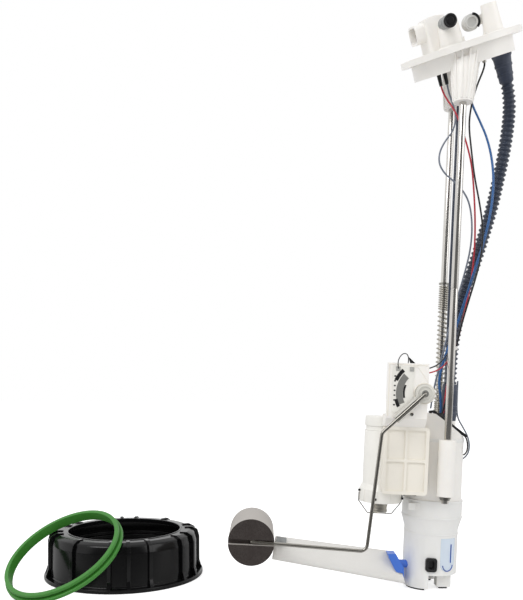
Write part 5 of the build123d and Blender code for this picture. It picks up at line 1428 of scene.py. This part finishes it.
class PUMP_OT_lock_ring(PumpOperator):
    """Make the lock ring with its ribs and thread"""

    bl_idname = "pump.lock_ring"
    bl_label = "Lock ring"

    def build(self, scene):
        settings = scene.pump_ring
        ring = Maker(RING)
        outline = [(66.0, 0), (76.5, 0, 0.8), (76.5, 3.5, 0.8), (70.7, 3.5, 1.4), (70.5, 34.0, 4.0)]
        outline += [(68.4, 40.9, 3.0), (63.5, 43.0, 2.5), (55.6, 43.0, 0.4), (55.2, 43.6, 0.3)]
        outline += [(54.0, 43.6, 0.4), (54.0, 39.0, 0.5), (66.0, 37.0, 0.8)]
        for height in (30.0, 26.0, 22.0, 18.0, 14.0, 10.0):
            outline += [(66.0, height, 0.2), (64.2, height - 1.2, 0.4)]
            outline += [(64.2, height - 1.8, 0.4), (66.0, height - 3.0, 0.2)]
        ring.turned(outline, steps=160, radius=0.4)
        made = ring.done("threaded_ring", "ring_black", 40)
        put(made, "lock_ring", "black_plastic", "lock_ring")
        self.ribs(settings)

    def ribs(self, settings):
        """Grip ribs that run up the wall and hook over the top."""
        seed = Maker(HERE)
        outline = [(69.5, 2.8), (73.4, 2.8, 0.5), (73.4, 34.6, 3.0), (71.6, 41.0, 3.0), (66.0, 44.1, 2.0)]
        outline += [(59.0, 44.1, 0.8), (58.2, 42.0), (64.0, 42.0), (68.0, 39.5, 1.0), (69.5, 34.0, 1.0)]
        half = settings.rib_width / 2
        seed.slab(outline, -half, half, forward(), radius=0.4)
        outline = [(70.0, 3.2), (75.8, 3.2, 0.5), (73.6, 10.5, 0.5), (70.0, 10.5)]
        seed.slab(outline, -half, half, forward(), 0.3)
        rib = seed.done("rib_seed", "ring_black", bevel=0)
        front = (-81, -67, -30.7, -0.8, 13, 29, 58, 74)
        turns = [angle - 90 for angle in front] + [angle + 90 for angle in front]
        ribs = copies_of("grip_ribs", "ring_black", RING, rib, turns)
        broken(ribs, 1.0, 40, segments=3)
        put(ribs, "lock_ring", "black_plastic")


class PUMP_OT_gasket(PumpOperator):
    """Make the gasket with its two lips"""

    bl_idname = "pump.gasket"
    bl_label = "Gasket"

    def build(self, scene):
        make = Maker(GASKET)
        outline = [(50.5, -4.5, 0.3), (53.7, -4.5, 0.4), (55.9, -3.3, 0.7), (55.9, -0.8, 0.4)]
        outline += [(54.9, -0.4, 0.2), (51.8, -0.4), (51.8, 1.6), (54.3, 1.9, 0.2)]
        outline += [(54.3, 4.5, 0.6), (50.5, 4.5, 0.4)]
        make.turned(outline, steps=160, radius=0.3)
        put(make.done("lipped_gasket", "gasket_green", 50), "gasket", "green_rubber", "flange_gasket")


class PUMP_PT_panel(bpy.types.Panel):
    """The object's steps and settings"""

    bl_idname = "PUMP_PT_panel"
    bl_label = "Fuel Pump Module"
    bl_space_type = "VIEW_3D"
    bl_region_type = "UI"
    bl_category = "Pump Module"

    def draw(self, context):
        for group in SETTINGS:
            box = self.layout.box()
            for key in getattr(context.scene, group).bl_rna.properties.keys():
                if key not in ("rna_type", "name"):
                    box.prop(getattr(context.scene, group), key)
        for step in STEPS:
            self.layout.operator(step.bl_idname)



SETTINGS = {
    "pump_rods": PumpRodSettings,
    "pump_hose": PumpHoseSettings,
    "pump_ring": PumpRingSettings,
    "pump_stage": PumpStageSettings,
}
STEPS = (
    PUMP_OT_stage,
    PUMP_OT_hose,
    PUMP_OT_wires,
    PUMP_OT_rods,
    PUMP_OT_flange,
    PUMP_OT_reservoir,
    PUMP_OT_pump,
    PUMP_OT_sender,
    PUMP_OT_canister,
    PUMP_OT_strainer,
    PUMP_OT_lock_ring,
    PUMP_OT_gasket,
)


def register():
    """Register the settings, the steps and the panel."""
    for group, kind in SETTINGS.items():
        bpy.utils.register_class(kind)
        setattr(bpy.types.Scene, group, bpy.props.PointerProperty(type=kind))
    for kind in (*STEPS, PUMP_PT_panel):
        bpy.utils.register_class(kind)


def unregister():
    """Take them out again."""
    for kind in reversed((*STEPS, PUMP_PT_panel)):
        bpy.utils.unregister_class(kind)
    for group, kind in SETTINGS.items():
        delattr(bpy.types.Scene, group)
        bpy.utils.unregister_class(kind)


def main():
    """Register the steps and build everything."""
    register()
    for step in STEPS:
        area, name = step.bl_idname.split(".")
        getattr(getattr(bpy.ops, area), name)()


if __name__ == "__main__":
    main()
